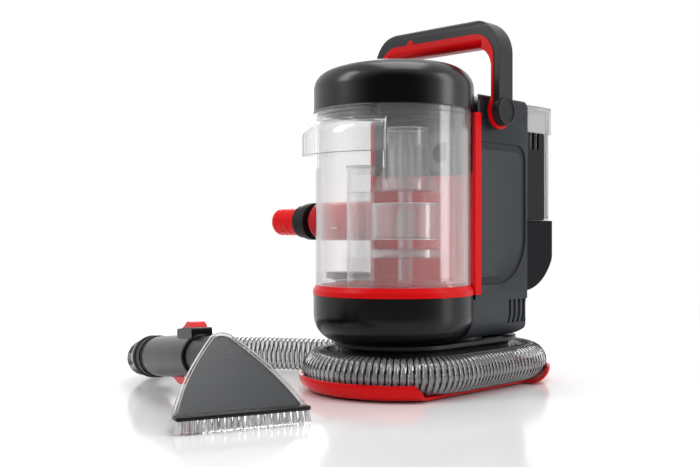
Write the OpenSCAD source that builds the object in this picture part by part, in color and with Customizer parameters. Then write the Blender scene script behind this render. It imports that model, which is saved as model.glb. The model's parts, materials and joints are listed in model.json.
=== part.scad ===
// Portable spot extractor: upright machine, wrapped suction hose and spray tool.
// Millimetres, +Z up, front towards -Y, origin on the floor under the tray's middle.

/* [Tray] */
// Radius of the hose channel's centre line at the tray's round ends
loop_r = 80; // [79:0.5:84]
// Distance between the centres of the tray's round ends
loop_len = 100; // [94:1:110]
// Thickness of the tray's floor
tray_floor = 2.8; // [2.4:0.2:4]
// Height of the tray's lips above its underside
lip_h = 16; // [12:1:20]
// Thickness of the lips
lip_t = 3; // [2:0.5:4]
// How far the rubber feet stand out under the tray
foot_stand = 1.2; // [0.8:0.1:2]
// Diameter of a rubber foot
foot_d = 24; // [16:1:28]

/* [Hose] */
// Outer diameter of the suction hose
hose_d = 38; // [34:0.5:38]

/* [Housing] */
// Width of the housing across its side panels
body_w = 140; // [136:1:146]
// Wall thickness of the housing shells
body_wall = 3; // [2.4:0.2:3.6]
// Height of the pedestal's top, where the housing starts
base_z = 50; // [48:1:54]
// Height of the bowl's rim, where the red ring sits
bowl_z = 98.5; // [96:0.5:102]
// Height of the housing's top cap
body_top = 306; // [300:1:312]
// Depth of the upper housing behind the machine's middle
upper_y = 86.5; // [84:0.5:90]
// Depth of the lower housing behind the machine's middle
lower_y = 97; // [95:0.5:100]
// Width of one vent slot
vent_w = 4; // [2.5:0.5:5]
// Height of the vent slots
vent_h = 25; // [15:1:30]

/* [Waste tank] */
// Outer radius of the waste tank
tank_r = 80.5; // [78:0.5:82]
// Wall thickness of the clear tanks
tank_wall = 2.2; // [1.8:0.1:3]
// Distance of the waste tank's axis in front of the machine's middle
tank_fwd = 56.5; // [55:0.5:58]
// Height of the red ring that holds the tank's foot
ring_h = 10; // [8:0.5:12]
// Height of the lid's lower edge
lid_z = 287; // [280:1:292]
// Height of the lid from its lower edge to its crown
lid_h = 51; // [46:1:54]
// How far the lid stands out round the tank
lid_over = 2.9; // [2.5:0.1:3.5]
// How far the finger hood stands out from the tank
hood_out = 14.5; // [12:0.5:18]
// Half of the angle that the finger hood spans
hood_half = 37; // [30:1:42]
// Radius of the float cup
float_r = 36.5; // [30:0.5:38]

/* [Clean tank] */
// Depth of the clean-water tank, front to back
clean_d = 53.5; // [44:0.5:58]
// Height of the clean-water tank
clean_h = 126.5; // [118:0.5:130]
// Height of the tank's broad shoulder
shoulder_h = 29.5; // [20:0.5:34]

/* [Handle] */
// Width across the handle's arms
handle_w = 172; // [168:1:180]
// Height of the pivot above the floor
pivot_z = 289; // [284:1:292]
// Distance of the pivot behind the machine's middle
pivot_y = 23; // [20:0.5:26]
// Height of the handle's top
handle_top = 387; // [382:1:400]
// Width of the handle, front to back
handle_d = 24; // [20:1:28]
// Radius of the pivot pins
pin_r = 4; // [3:0.5:5]

/* [Tool post] */
// Radius of the tool post's body
post_r = 23; // [20:0.5:24]
// Length of the tool post's body from the housing's side
post_len = 109; // [80:1:110]
// Radius of the ribbed peg
peg_r = 17; // [16:0.5:18]
// Length of the ribbed peg
peg_len = 43; // [30:1:50]

/* [Spray tool] */
// Width of the nozzle's mouth
mouth_w = 122; // [110:1:130]
// Length of the nozzle's front face along its slope
face_len = 82; // [76:1:88]
// Lean of the front face from the floor
face_lean = 50; // [45:1:55]
// Thickness of the nozzle
nozzle_t = 15; // [14:0.5:18]
// Radius of the hand grip
grip_r = 20.5; // [19:0.5:22]
// Length of the hand grip
grip_len = 129; // [120:1:134]
// Free length of the bristles
bristle_h = 11; // [9:0.5:12]
// Number of tufts in a row
tufts = 20; // [10:1:24]

/* [Hidden] */
$fn = 64;
eps = 0.01;
seat = 0.3;          // air between a piece and the piece that carries it
slip = 0.5;          // running gap between pieces that move past each other

// ---- derived sizes -------------------------------------------------------
half_len = loop_len / 2;
hose_r = hose_d / 2;
floor_z = foot_stand + tray_floor;
hose_z = 23.2;
lip_ri = loop_r + 20;
lip_ro = lip_ri + lip_t;
tray_bend = 14;
core_r = loop_r - 22;
flange_r = core_r + 8;
flange_t = 4;
side_x = body_w / 2;
tank_y = -tank_fwd;
bowl_r = tank_r + 2.5;
bowl_bend = 28;
body_front = -12;
bay_r = tank_r + 1.5;
liner_t = 2.5;
lid_r = tank_r + lid_over;
lid_gap = 3.8;
lid_bay_r = lid_r + lid_gap;
ring_top = bowl_z + ring_h;
foot_plug_r = tank_r - 4 - 0.65 * ring_h;
plug_gap = 2.4;
bezel_t = 2.5;
bezel_w = 10;
cap_t = 6;
liner_split = 225;
step_z = lid_z - 1;
port_z = 250;
port_r = 12;
clean_y = upper_y + 2.5;
clean_z = 176.3;
clean_x = side_x - body_wall - 1;
clean_top = clean_z + clean_h;
clean_bend = 10;
shoulder_z = clean_top - shoulder_h;
wing_y = 120.5;
shroud_z = clean_z - seat;
shroud_y = clean_y + clean_d + 4.5;
shroud_x = side_x - 2;
post_y = 14;
post_z = 176.5;
arm_out = handle_w / 2;
shell_arm = 7;
liner_arm = 3;
arm_in = arm_out - shell_arm - liner_arm;
fan_y = 46;
fan_r = 42;
fan_z = 58;
fan_top = 90;
valve_z = 195;
cap_neck_r = 11;

// The hose's route: elbow, once round the base, then out to the tool.
ROUTE = [
    [-80, 6, 23.2], [-80, -22, 23.2], [-80, -50, 23.2],
    [-74, -81, 23.2], [-57, -107, 23.2], [-31, -124, 23.2], [0, -130, 23.2],
    [31, -124, 23.2], [57, -107, 23.2], [74, -81, 23.2], [80, -50, 23.2],
    [80, -25, 23.2], [80, 0, 23.2], [80, 25, 23.2], [80, 50, 23.2],
    [74, 81, 23.2], [57, 107, 23.2], [31, 124, 23.2], [0, 130, 23.2],
    [-20, 130, 23.2], [-40, 130, 23.2], [-71, 124, 23.2], [-97, 107, 22.8],
    [-114, 81, 22], [-120, 50, 21], [-125, 24, 20], [-138, 1, 19.4],
    [-158, -16, 19.2], [-190, -34, 19.2], [-223, -53, 19.2],
    [-250, -75, 19.2], [-266, -106, 19.2], [-270, -141, 19.4],
    [-259, -173, 21], [-236, -200, 25], [-208, -216, 30.6], [-194.7, -220.4, 32]
];

// Place of the spray tool: middle of its mouth on the floor, and its turn.
TOOL_POS = [48, -301.6, 0];
TOOL_TURN = 71.5;
GRIP_POS = [0, 70, 52];
GRIP_TILT = -6.14;
neck_end = 26;
grip_end = neck_end + seat + grip_len;
grip_bore = 12;
cuff_len = 31.2;
cuff_r = grip_r + 1;
face_z = bristle_h + 1.5;

// ---- helpers -------------------------------------------------------------
module at_tank() translate([0, tank_y, 0]) children();

module both_sides() {
    children();
    mirror([1, 0, 0]) children();
}

// Sweeps a section (x = distance from the middle line, y = height) round the
// oblong whose round ends are centred half_len before and behind the origin.
module oblong_sweep() {
    translate([0, half_len, 0]) rotate_extrude(angle = 180) children();
    translate([0, -half_len, 0]) rotate([0, 0, 180]) rotate_extrude(angle = 180) children();
    both_sides()
        translate([0, half_len, 0]) rotate([90, 0, 0]) linear_extrude(loop_len) children();
}

// Half section of a dish: outer radius ro, bottom corner radius f.
module dish2d(ro, f, z0, z1) {
    intersection() {
        union() {
            translate([0, z0]) square([ro - f, z1 - z0]);
            translate([0, z0 + f]) square([ro, max(z1 - z0 - f, eps)]);
            translate([ro - f, z0 + f]) circle(f);
        }
        translate([0, z0]) square([ro, z1 - z0]);
    }
}

// Rectangle with round corners, from lo to hi.
module round_rect(lo, hi, r) {
    translate([lo[0] + r, lo[1]]) square([hi[0] - lo[0] - 2 * r, hi[1] - lo[1]]);
    translate([lo[0], lo[1] + r]) square([hi[0] - lo[0], hi[1] - lo[1] - 2 * r]);
    for (x = [lo[0] + r, hi[0] - r], y = [lo[1] + r, hi[1] - r])
        translate([x, y]) circle(r);
}

// Extrudes a (Y, Z) outline along X, from x0 to x1.
module along_x(x0, x1) {
    translate([x0, 0, 0]) rotate([90, 0, 90]) linear_extrude(x1 - x0) children();
}

// Extrudes an (X, Z) outline along Y, from y0 to y1.
module along_y(y0, y1) {
    translate([0, y1, 0]) rotate([90, 0, 0]) linear_extrude(y1 - y0) children();
}

module along_z(z0, z1) {
    translate([0, 0, z0]) linear_extrude(z1 - z0) children();
}

function smooth(t) = t * t * (3 - 2 * t);

function ramp(y0, z0, y1, z1, n = 8) =
    [for (i = [0 : n]) [y0 + (y1 - y0) * i / n, z0 + (z1 - z0) * smooth(i / n)]];

function unit(v) = v / norm(v);

// Direction of the route at point i.
function heading(p, i) =
    unit(p[min(i + 1, len(p) - 1)] - p[max(i - 1, 0)]);

function ring_at(c, d, r, n) =
    let (side = unit(cross(d, [0, 0, 1])), up = cross(side, d))
    [for (k = [0 : n - 1]) c + r * (cos(360 * k / n) * side + sin(360 * k / n) * up)];

// One closed tube swept along a list of points.
module swept_tube(p, r, n = 12) {
    m = len(p);
    points = [for (i = [0 : m - 1]) each ring_at(p[i], heading(p, i), r, n)];
    sides = [for (i = [0 : m - 2], k = [0 : n - 1])
        let (a = i * n + k, b = i * n + (k + 1) % n) each [[a, b, b + n], [a, b + n, a + n]]];
    first = [for (k = [n - 1 : -1 : 0]) k];
    last = [for (k = [0 : n - 1]) (m - 1) * n + k];
    polyhedron(points, concat(sides, [first, last]));
}

module tool_frame() translate(TOOL_POS) rotate([0, 0, TOOL_TURN]) children();
module grip_frame() tool_frame() translate(GRIP_POS) rotate([GRIP_TILT, 0, 0]) children();

// Solid of revolution about the grip's axis; the section's y is the distance
// along the grip.
module grip_lathe() rotate([-90, 0, 0]) rotate_extrude() children();

// ---- base ----------------------------------------------------------------
window_front = -97;
window_rear = 62;
screw_spots = [for (x = [-1, 1], y = [-45, 20]) [x * (core_r - 8.5), y]];
screw_r = 2;
boss_r = 6.5;

// Side view of the lip's cut-out, with a curved ramp at each end.
module lip_window2d() {
    low = -eps;
    polygon(concat(
        ramp(window_front - 24, foot_stand + lip_h + 1, window_front, low),
        ramp(window_rear, low, window_rear + 40, foot_stand + lip_h + 1)));
}

module base_tray() color([0.78, 0.06, 0.07]) {
    difference() {
        oblong_sweep() difference() {
            dish2d(lip_ro, tray_bend, foot_stand, foot_stand + lip_h);
            dish2d(lip_ri, tray_bend - lip_t, floor_z, foot_stand + lip_h + 1);
        }
        both_sides() along_x(loop_r - 2, lip_ro + 1) lip_window2d();
        difference() {
            translate([-lip_ro - 1, window_rear - 4, 0]) cube([lip_ro - 7, lip_ro + 20, lip_h + 5]);
            translate([0, half_len, 0]) cylinder(h = 60, r = loop_r + 6, center = true);
        }
        for (p = foot_spots()) translate([p[0], p[1], 0]) cylinder(h = 2 * foot_stand, d = foot_d + 0.4);
        for (p = screw_spots) translate([p[0], p[1], 0]) {
            cylinder(h = 20, r = screw_r + 0.2);
            cylinder(h = foot_stand + 1.4, r = 2 * screw_r + 0.3);
        }
    }
}

function foot_spots() = concat([[0, 0]],
    [for (x = [-1, 1], y = [-1, 1]) [x * (loop_r - 22), y * (half_len + 35)]]);

module tray_feet() color([0.08, 0.08, 0.08])
    for (p = foot_spots()) translate([p[0], p[1], 0]) cylinder(h = 2 * foot_stand, d = foot_d);

module tray_screws() color([0.6, 0.6, 0.62])
    for (p = screw_spots) translate([p[0], p[1], foot_stand]) {
        difference() {
            union() {
                cylinder(h = 1.4, r = 2 * screw_r);
                cylinder(h = 18, r = screw_r);
            }
            translate([0, 0, -1]) cylinder(h = 1.8, r = 0.7 * screw_r, $fn = 6);
        }
    }

module pedestal() color([0.07, 0.07, 0.08]) {
    difference() {
        oblong_sweep() difference() {
            union() {
                translate([0, floor_z]) square([core_r, base_z - floor_z]);
                translate([0, base_z - flange_t]) square([flange_r, flange_t]);
                translate([core_r, base_z - flange_t - 6]) difference() {
                    square([6, 6 + eps]);
                    translate([6, 0]) circle(6);
                }
            }
            translate([-eps, floor_z - 1]) square([core_r - body_wall, base_z]);
        }
        elbow_form(elbow_r + seat);
    }
    for (p = screw_spots) translate([p[0], p[1], floor_z]) difference() {
        cylinder(h = base_z - floor_z - 4, r = boss_r);
        translate([0, 0, -eps]) cylinder(h = 18, r = screw_r + 0.1);
    }
}

// ---- housing -------------------------------------------------------------
module bowl_opening() along_z(base_z - 2, base_z + body_wall + 2) {
    translate([-core_r + 5, -half_len]) square([2 * core_r - 10, loop_len]);
    for (y = [-half_len, half_len]) translate([0, y]) circle(core_r - 5);
}

module front_bowl() color([0.06, 0.06, 0.07]) {
    difference() {
        intersection() {
            at_tank() rotate_extrude() {
                difference() {
                    dish2d(bowl_r, bowl_bend, base_z, bowl_z);
                    translate([0, body_wall])
                        dish2d(bowl_r - body_wall, bowl_bend - body_wall, base_z, bowl_z);
                }
                translate([0, bowl_z - 3]) square([bowl_r - 1, 3]);
            }
            translate([-100, -200, 0]) cube([200, 200 + body_front - 0.1, 200]);
        }
        bowl_opening();
    }
}

// The housing's outer form, moved inwards by i on every side but the front.
module housing_form(i) {
    x = side_x - i;
    lower_top = bowl_z + 0.5 - i;
    intersection() {
        along_x(-x, x) {
            translate([body_front - 40 * sign(i), base_z + i])
                square([lower_y - i - 18 - body_front + 40 * sign(i), lower_top - base_z - i]);
            translate([lower_y - i - 20, base_z + 18]) square([20, lower_top - base_z - 18]);
            translate([lower_y - 18, base_z + 18]) circle(18 - i);
        }
        along_z(0, 200) {
            translate([-x, -60]) square([2 * x, lower_y - 20 + 60]);
            translate([-x + 20 - i, 0]) square([2 * x - 40 + 2 * i, lower_y - i]);
            for (s = [-1, 1]) translate([s * (side_x - 20), lower_y - 20]) circle(20 - i);
        }
        along_y(-80, 120) {
            translate([-x, base_z + bowl_bend]) square([2 * x, 100]);
            translate([-x + bowl_bend - i, base_z + i]) square([2 * x - 2 * bowl_bend + 2 * i, 100]);
            for (s = [-1, 1])
                translate([s * (side_x - bowl_bend), base_z + bowl_bend]) circle(bowl_bend - i);
        }
    }
    along_z(lower_top - 12, body_top - cap_t)
        translate([-x, body_front - 40 * sign(i)]) square([2 * x, upper_y - i - body_front + 40 * sign(i)]);
}

panel_y0 = body_front + 3;
panel_y1 = upper_y - 4;
panel_z0 = 108;
panel_z1 = 257;
panel_deep = 1.4;

// Outline of the side panel's sunk border, moved inwards by i.
module panel2d(i) {
    big = 52 - i;
    small = 16 - i;
    difference() {
        translate([panel_y0 - 10, panel_z0 + i])
            square([panel_y1 - i - panel_y0 + 10, panel_z1 - panel_z0 - 2 * i]);
        translate([panel_y1 - i - big, panel_z0 + i]) difference() {
            square([big + 1, big]);
            translate([0, big]) circle(big);
        }
        translate([panel_y1 - i - small, panel_z1 - i - small]) difference() {
            square([small + 1, small + 1]);
            circle(small);
        }
    }
}

// Vent slots: along the lower rear side, then round the rear corner.
module vents() {
    z = base_z + 16;
    for (k = [0 : 3]) translate([side_x - 6, upper_y - 35 + k * 8.5, z]) cube([10, vent_w, vent_h]);
    for (a = [22, 48, 74])
        translate([side_x - 20, lower_y - 20, z]) rotate([0, 0, a]) translate([12, -vent_w / 2, 0])
            cube([12, vent_w, vent_h]);
}

module side_shell() {
    difference() {
        union() {
            difference() {
                housing_form(0);
                housing_form(body_wall);
            }
            // wing beside the clean tank
            along_x(side_x - body_wall, side_x)
                round_rect([upper_y - 6, clean_z], [wing_y, shoulder_z - seat], 3);
            // pivot boss
            translate([side_x - 8, pivot_y, pivot_z - 4]) rotate([0, 90, 0])
                cylinder(h = arm_in - slip - side_x + 8, r = 14);
        }
        translate([-200, -100, 0]) cube([200.1, 400, 400]);
        bowl_opening();
        at_tank() {
            translate([0, 0, bowl_z - 5]) cylinder(h = step_z - bowl_z + 6, r = bay_r + liner_t + 0.3);
            translate([0, 0, step_z - 3]) cylinder(h = 60, r = lid_bay_r + liner_t + 0.3);
        }
        translate([-1, body_front - 1, bowl_z]) cube([side_x + 2, bezel_t + 1.1, step_z - bowl_z]);
        // sunk border of the side panel
        along_x(side_x - panel_deep, side_x + 1) difference() {
            panel2d(0);
            panel2d(8);
        }
        vents();
        // finger slots at the top of the wing
        for (y = [upper_y + 7, upper_y + 17])
            along_x(side_x - 5, side_x + 1)
                round_rect([y, shoulder_z - 20], [y + 6, shoulder_z + 5], 2.9);
        // window for the clean tank's valve
        translate([-1, upper_y - 10, valve_z - port_half]) cube([port_half + 1, 20, 2 * port_half]);
        // pin bore
        translate([side_x - 20, pivot_y, pivot_z]) rotate([0, 90, 0]) cylinder(h = 40, r = pin_r + 0.05);
    }
}

module right_shell() color([0.22, 0.23, 0.25]) side_shell();

module left_shell() color([0.22, 0.23, 0.25]) difference() {
    mirror([1, 0, 0]) side_shell();
    translate([gland_x, lower_y - 10, gland_z]) rotate([-90, 0, 0]) cylinder(h = 20, r = gland_r + 0.2);
}

module shroud2d(i) {
    intersection() {
        translate([shroud_y - 64, shroud_z - 13]) circle(64 - i);
        translate([upper_y - 30 * sign(i), bowl_z + 0.8 + i]) square([80, shroud_z - 13 - bowl_z - 0.8 - i]);
    }
    translate([upper_y - 30 * sign(i), shroud_z - 13 - eps])
        square([shroud_y - i - upper_y + 30 * sign(i), 13 - i + eps]);
}

module shroud_plan(i) along_z(0, 300) {
    x = shroud_x - i;
    r = clean_bend - i;
    translate([-x, 0]) square([2 * x, shroud_y - i - r]);
    translate([-x + r, 0]) square([2 * x - 2 * r, shroud_y - i]);
    for (s = [-1, 1]) translate([s * (x - r), shroud_y - i - r]) circle(r);
}

module rear_shroud() color([0.05, 0.05, 0.06]) difference() {
    intersection() {
        along_x(-shroud_x, shroud_x) shroud2d(0);
        shroud_plan(0);
        translate([-100, upper_y + 0.1, 0]) cube([200, 100, 300]);
    }
    intersection() {
        along_x(-shroud_x, shroud_x) shroud2d(body_wall);
        shroud_plan(body_wall);
    }
}

button_y = 62;
button_l = 28;
button_w = 14;

module top_cap() color([0.05, 0.05, 0.06]) difference() {
    intersection() {
        along_x(-side_x, side_x) {
            translate([body_front, body_top - cap_t]) square([upper_y - 5 - body_front, cap_t]);
            translate([upper_y - cap_t - 1, body_top - cap_t]) intersection() {
                circle(cap_t);
                square(cap_t);
            }
            translate([upper_y - 6, body_top - cap_t]) square([6, 1]);
        }
        along_y(-100, 200) {
            translate([-side_x, 0]) square([2 * side_x, body_top - 3]);
            translate([-side_x + 3, 0]) square([2 * side_x - 6, body_top]);
            for (s = [-1, 1]) translate([s * (side_x - 3), body_top - 3]) circle(3);
        }
    }
    at_tank() cylinder(h = 400, r = lid_bay_r);
    along_z(body_top - 20, body_top + 1) translate([0, button_y])
        round_rect([-button_l / 2 - slip, -button_w / 2 - slip],
            [button_l / 2 + slip, button_w / 2 + slip], 5);
}

module bezel() color([0.82, 0.05, 0.06]) {
    at_tank() rotate_extrude() polygon([
        [foot_plug_r + plug_gap, bowl_z], [tank_r - 4 + plug_gap, ring_top], [tank_r + 0.1, ring_top],
        [bowl_r + 0.5, bowl_z + ring_h / 2], [bowl_r + 0.5, bowl_z]]);
    both_sides() difference() {
        translate([side_x - 9, body_front, bowl_z]) cube([9 + bezel_t, bezel_w, step_z - bowl_z]);
        translate([side_x - 20, body_front + bezel_t, 0]) cube([20, 50, 400]);
        at_tank() cylinder(h = 400, r = bay_r);
    }
}

module bay_front() translate([-side_x + 0.2, body_front + bezel_t + 0.1, 0])
    cube([2 * side_x - 0.4, 200, 400]);

module bay_liner() color([0.75, 0.06, 0.07]) intersection() {
    at_tank() difference() {
        translate([0, 0, ring_top]) cylinder(h = liner_split - ring_top - 0.1, r = bay_r + liner_t);
        cylinder(h = 400, r = bay_r);
    }
    bay_front();
}

module bay_upper() color([0.2, 0.2, 0.22]) difference() {
    intersection() {
        at_tank() rotate_extrude() {
            translate([bay_r, liner_split]) square([liner_t, step_z - liner_split - 1]);
            translate([bay_r, step_z - 2.6]) square([lid_bay_r + liner_t - bay_r, 2.6]);
            translate([lid_bay_r, step_z - 2.6]) square([liner_t, body_top - cap_t - step_z + 2.6]);
        }
        bay_front();
        translate([-200, -200, 0]) cube([400, 400, body_top - cap_t]);
    }
    translate([0, 0, port_z]) rotate([-90, 0, 0]) cylinder(h = 60, r = port_r);
}

// ---- tool post, shelf, gland ----------------------------------------------
post_x = -side_x - post_len;       // where the post's body ends
neck_r = 14;
post_root = bezel_t + 0.5;
ring_gap = 7;
ring_len = 24;
peg_x = post_x - ring_gap - ring_len;

// Solid of revolution about the post; the section's y is the distance from
// the machine's middle towards the left.
module post_lathe() translate([0, post_y, post_z]) rotate([0, -90, 0]) rotate_extrude() children();

module tool_post() color([0.18, 0.18, 0.2]) post_lathe() {
    difference() {
        union() {
            translate([0, side_x + post_root]) square([post_r, post_len - 6 - post_root]);
            translate([0, side_x]) square([post_r - 8, post_len]);
            translate([0, side_x + post_root]) square([post_r - 6, post_len - post_root]);
            translate([post_r - 6, side_x + post_len - 6]) circle(6);
        }
        translate([-eps, side_x - 1]) square([post_r - 8 - body_wall, post_len - 9]);
    }
    translate([0, -post_x - 5]) square([neck_r, peg_x * -1 - -post_x + 8]);
}

module post_rings() color([0.04, 0.04, 0.04]) post_lathe() {
    for (k = [[0, post_r - 0.5], [1, post_r - 3]])
        translate([neck_r, -post_x + ring_gap + k[0] * (ring_len / 2)])
            round_rect([0, 0.2], [k[1] - neck_r, ring_len / 2 - 0.8], 2);
}

rib_t = 2;
cell_x = (peg_len - 14 - 2 * rib_t) / 3;

// Peg with a web down its middle and ribbed cells in both faces.
module post_peg() color([0.82, 0.05, 0.06]) difference() {
    post_lathe() difference() {
        union() {
            translate([0, -peg_x]) square([peg_r - 6, peg_len]);
            translate([0, -peg_x]) square([peg_r, peg_len - 6]);
            translate([peg_r - 6, -peg_x + peg_len - 6]) circle(6);
        }
        translate([-eps, -peg_x - 1]) square([neck_r + 0.1, 4.1]);
    }
    for (side = [-1, 1], up = [-1, 1], k = [0 : 2])
        translate([peg_x - 8 - k * (cell_x + rib_t) - cell_x,
            post_y + side * 9 - 7, post_z + up * 7.2 - 6.2])
            cube([cell_x, 14, 12.4]);
}

shelf_len = 89;
shelf_top = 116.5;

module tool_shelf() color([0.2, 0.2, 0.22]) intersection() {
    union() {
        along_y(post_y - 15.5, post_y + 16) {
            translate([-side_x - shelf_len, shelf_top - 8]) square([shelf_len, 8]);
        }
        for (y = [post_y - 14, post_y + 9]) along_y(y, y + 5) polygon([
            [-side_x, shelf_top - 4], [-side_x - shelf_len + 6, shelf_top - 4],
            [-side_x - shelf_len + 22, shelf_top - 13], [-side_x, shelf_top - 34]]);
    }
    along_z(0, 300) round_rect([-side_x - shelf_len, post_y - 15.5], [-side_x + 20, post_y + 16], 10);
    translate([-side_x - 200, -100, 0]) cube([200, 200, 300]);
}

gland_x = -35;
gland_z = 76;
gland_r = 6.2;
cable_r = 3.6;

module cord_gland() color([0.05, 0.05, 0.05])
    translate([gland_x, lower_y, gland_z]) rotate([-90, 0, 0]) difference() {
        union() {
            translate([0, 0, -body_wall - 4]) cylinder(h = 8, r = gland_r);
            translate([0, 0, -body_wall - 4]) cylinder(h = 3.7, r = gland_r + 2);
            cylinder(h = 3, r = gland_r + 3);
            translate([0, 0, 3]) cylinder(h = 6, r1 = gland_r + 2, r2 = gland_r - 1);
        }
        translate([0, 0, -20]) cylinder(h = 60, r = cable_r);
    }

// ---- hose ------------------------------------------------------------------
elbow_bend = 24;
elbow_r = 17;
elbow_y = 32;

module elbow_frame() translate([-loop_r + elbow_bend, elbow_y, hose_z]) children();

// The bend with its straight end through the pedestal's wall.
module elbow_form(r) elbow_frame() {
    rotate([0, 0, 90]) rotate_extrude(angle = 90) translate([elbow_bend, 0]) circle(r);
    translate([-eps, elbow_bend, 0]) rotate([0, 90, 0]) cylinder(h = 12, r = r);
}

module hose_elbow() color([0.08, 0.08, 0.09]) difference() {
    union() {
        elbow_form(elbow_r);
        elbow_frame() translate([-elbow_bend, 5, 0]) rotate([90, 0, 0]) cylinder(h = 5, r = elbow_r + 1.5);
    }
    elbow_form(elbow_r - 3);
    elbow_frame() translate([-1, elbow_bend, 0]) rotate([0, 90, 0]) cylinder(h = 14, r = elbow_r - 3);
    elbow_frame() translate([-elbow_bend, 6, 0]) rotate([90, 0, 0]) cylinder(h = 8, r = elbow_r - 3);
}

module hose_cuff() color([0.05, 0.05, 0.05])
    translate([ROUTE[0][0], ROUTE[0][1], hose_z]) rotate([-90, 0, 0]) difference() {
        union() {
            cylinder(h = elbow_y - ROUTE[0][1], r = hose_r - 1);
            for (k = [0 : 3]) translate([0, 0, 3 + k * 6]) cylinder(h = 2.5, r = hose_r - 0.3);
        }
        translate([0, 0, -1]) cylinder(h = 60, r = hose_r - 4);
    }

module suction_hose() color([0.55, 0.55, 0.58]) swept_tube(ROUTE, hose_r);

// ---- motor, fan, pump ------------------------------------------------------
module at_fan() translate([0, fan_y, 0]) children();
motor_r = 31;
motor_z = 9;
shaft_r = 4;

module motor_mount() color([0.05, 0.05, 0.05]) at_fan() translate([0, 0, floor_z]) difference() {
    cylinder(h = motor_z - floor_z, r = motor_r + 2);
    translate([0, 0, -1]) cylinder(h = 20, r = motor_r - 12);
}

module motor_can() color([0.5, 0.5, 0.52]) at_fan() difference() {
    union() {
        translate([0, 0, motor_z]) cylinder(h = fan_z - motor_z, r = motor_r);
        for (k = [0 : 2]) translate([0, 0, motor_z + 8 + k * 12]) cylinder(h = 3, r = motor_r + 1.2);
    }
    translate([0, 0, motor_z + 6]) cylinder(h = 80, r = shaft_r + 0.3);
}

module fan_housing() color([0.12, 0.12, 0.13]) at_fan() difference() {
    translate([0, 0, fan_z]) cylinder(h = fan_top - fan_z, r = fan_r);
    translate([0, 0, fan_z + 2]) cylinder(h = fan_top - fan_z - 4, r = fan_r - 2);
    translate([0, 0, fan_z - 1]) cylinder(h = 6, r = shaft_r + 2);
    translate([0, 0, fan_top - 5]) cylinder(h = 10, r = 14);
    // outlets all round the lower wall
    for (a = [0 : 30 : 330]) rotate([0, 0, a]) translate([fan_r - 5, -4, fan_z + 4]) cube([10, 8, 8]);
}

module fan_impeller() color([0.75, 0.76, 0.78]) at_fan() difference() {
    union() {
        translate([0, 0, fan_z + 6]) cylinder(h = 2, r = fan_r - 4);
        translate([0, 0, fan_z + 6]) cylinder(h = 14, r = 9);
        for (a = [0 : 40 : 320]) rotate([0, 0, a]) difference() {
            translate([8, -1, fan_z + 6]) cube([fan_r - 13, 2, 14]);
            translate([fan_r + 4, -5, fan_z + 22]) rotate([-90, 0, 0]) cylinder(h = 10, r = 14);
        }
    }
    translate([0, 0, fan_z]) cylinder(h = 40, r = shaft_r);
}

module motor_shaft() color([0.7, 0.7, 0.72]) at_fan()
    translate([0, 0, motor_z + 6.3]) cylinder(h = fan_z + 22 - motor_z - 6.3, r = shaft_r);

duct_x = 18;
duct_y0 = fan_y - 12;
duct_y1 = fan_y + 12;

module suction_duct() color([0.15, 0.15, 0.16]) difference() {
    union() {
        along_z(fan_top, port_z + port_r + 4)
            translate([-duct_x, duct_y0]) square([2 * duct_x, duct_y1 - duct_y0]);
        translate([0, tank_y + bay_r + liner_t - 0.2, port_z]) rotate([-90, 0, 0])
            cylinder(h = duct_y0 - tank_y - bay_r - liner_t + 2, r = port_r + 3);
        at_fan() translate([0, 0, fan_top]) cylinder(h = 3, r = 17);
    }
    along_z(fan_top + 5, port_z + port_r + 2) translate([-duct_x + 2, duct_y0 + 2])
        square([2 * duct_x - 4, duct_y1 - duct_y0 - 4]);
    translate([0, 0, port_z]) rotate([-90, 0, 0]) cylinder(h = duct_y0 + 6, r = port_r);
    at_fan() translate([0, 0, fan_top - 1]) cylinder(h = 12, r = 9.5);
    at_tank() translate([0, 0, 150]) cylinder(h = 130, r = bay_r + liner_t);
}

pump_x = 34;
pump_z = 72;
pump_r = 14;
pump_y0 = -82;
pump_len = 56;

module pump_body() color([0.85, 0.85, 0.82]) translate([pump_x, pump_y0, pump_z]) rotate([-90, 0, 0]) {
    cylinder(h = pump_len, r = pump_r - 3);
    translate([0, 0, 10]) cylinder(h = pump_len - 22, r = pump_r);
    translate([0, 0, -6]) cylinder(h = 6 + eps, r = 4.5);
    translate([0, 0, pump_len - eps]) cylinder(h = 6, r = 4.5);
}

module pump_bracket() color([0.2, 0.2, 0.2]) difference() {
    along_y(pump_y0 + 16, pump_y0 + 38)
        translate([pump_x - 12, base_z + body_wall]) square([24, pump_z - base_z - body_wall]);
    translate([pump_x, 0, pump_z]) rotate([90, 0, 0]) cylinder(h = 200, r = pump_r, center = true);
    bowl_opening();
}

line_r = 3.5;

module water_line() color([0.8, 0.82, 0.85]) {
    start = [port_half, upper_y - 15, valve_z];
    finish = [pump_x, pump_y0 + pump_len + 6.1, pump_z];
    swept_tube([start, [40, start[1], valve_z], [45, start[1], valve_z - 4], [47, start[1], valve_z - 12],
        [47, start[1], 118], [49, start[1] - 3, 106], [54, 56, 97], [57, 44, 90], [56, 20, 84],
        [48, 0, 77], [pump_x + 3, -8, pump_z], [pump_x, -13, pump_z], finish], line_r, 8);
}

cap_out_r = 14;
pocket_r = cap_out_r + 1.6;
pocket_d = 14.5;
port_half = 9;
socket_y = 60;

module valve_socket() color([0.1, 0.1, 0.11]) translate([0, socket_y, valve_z]) rotate([-90, 0, 0]) {
    depth = upper_y - body_wall - socket_y;
    difference() {
        union() {
            cylinder(h = depth, r = port_half);
            translate([0, 0, depth - 3]) cylinder(h = 3, r = port_half + 6);
        }
        translate([0, 0, 4]) cylinder(h = depth, r = 4.4);
    }
}

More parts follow.
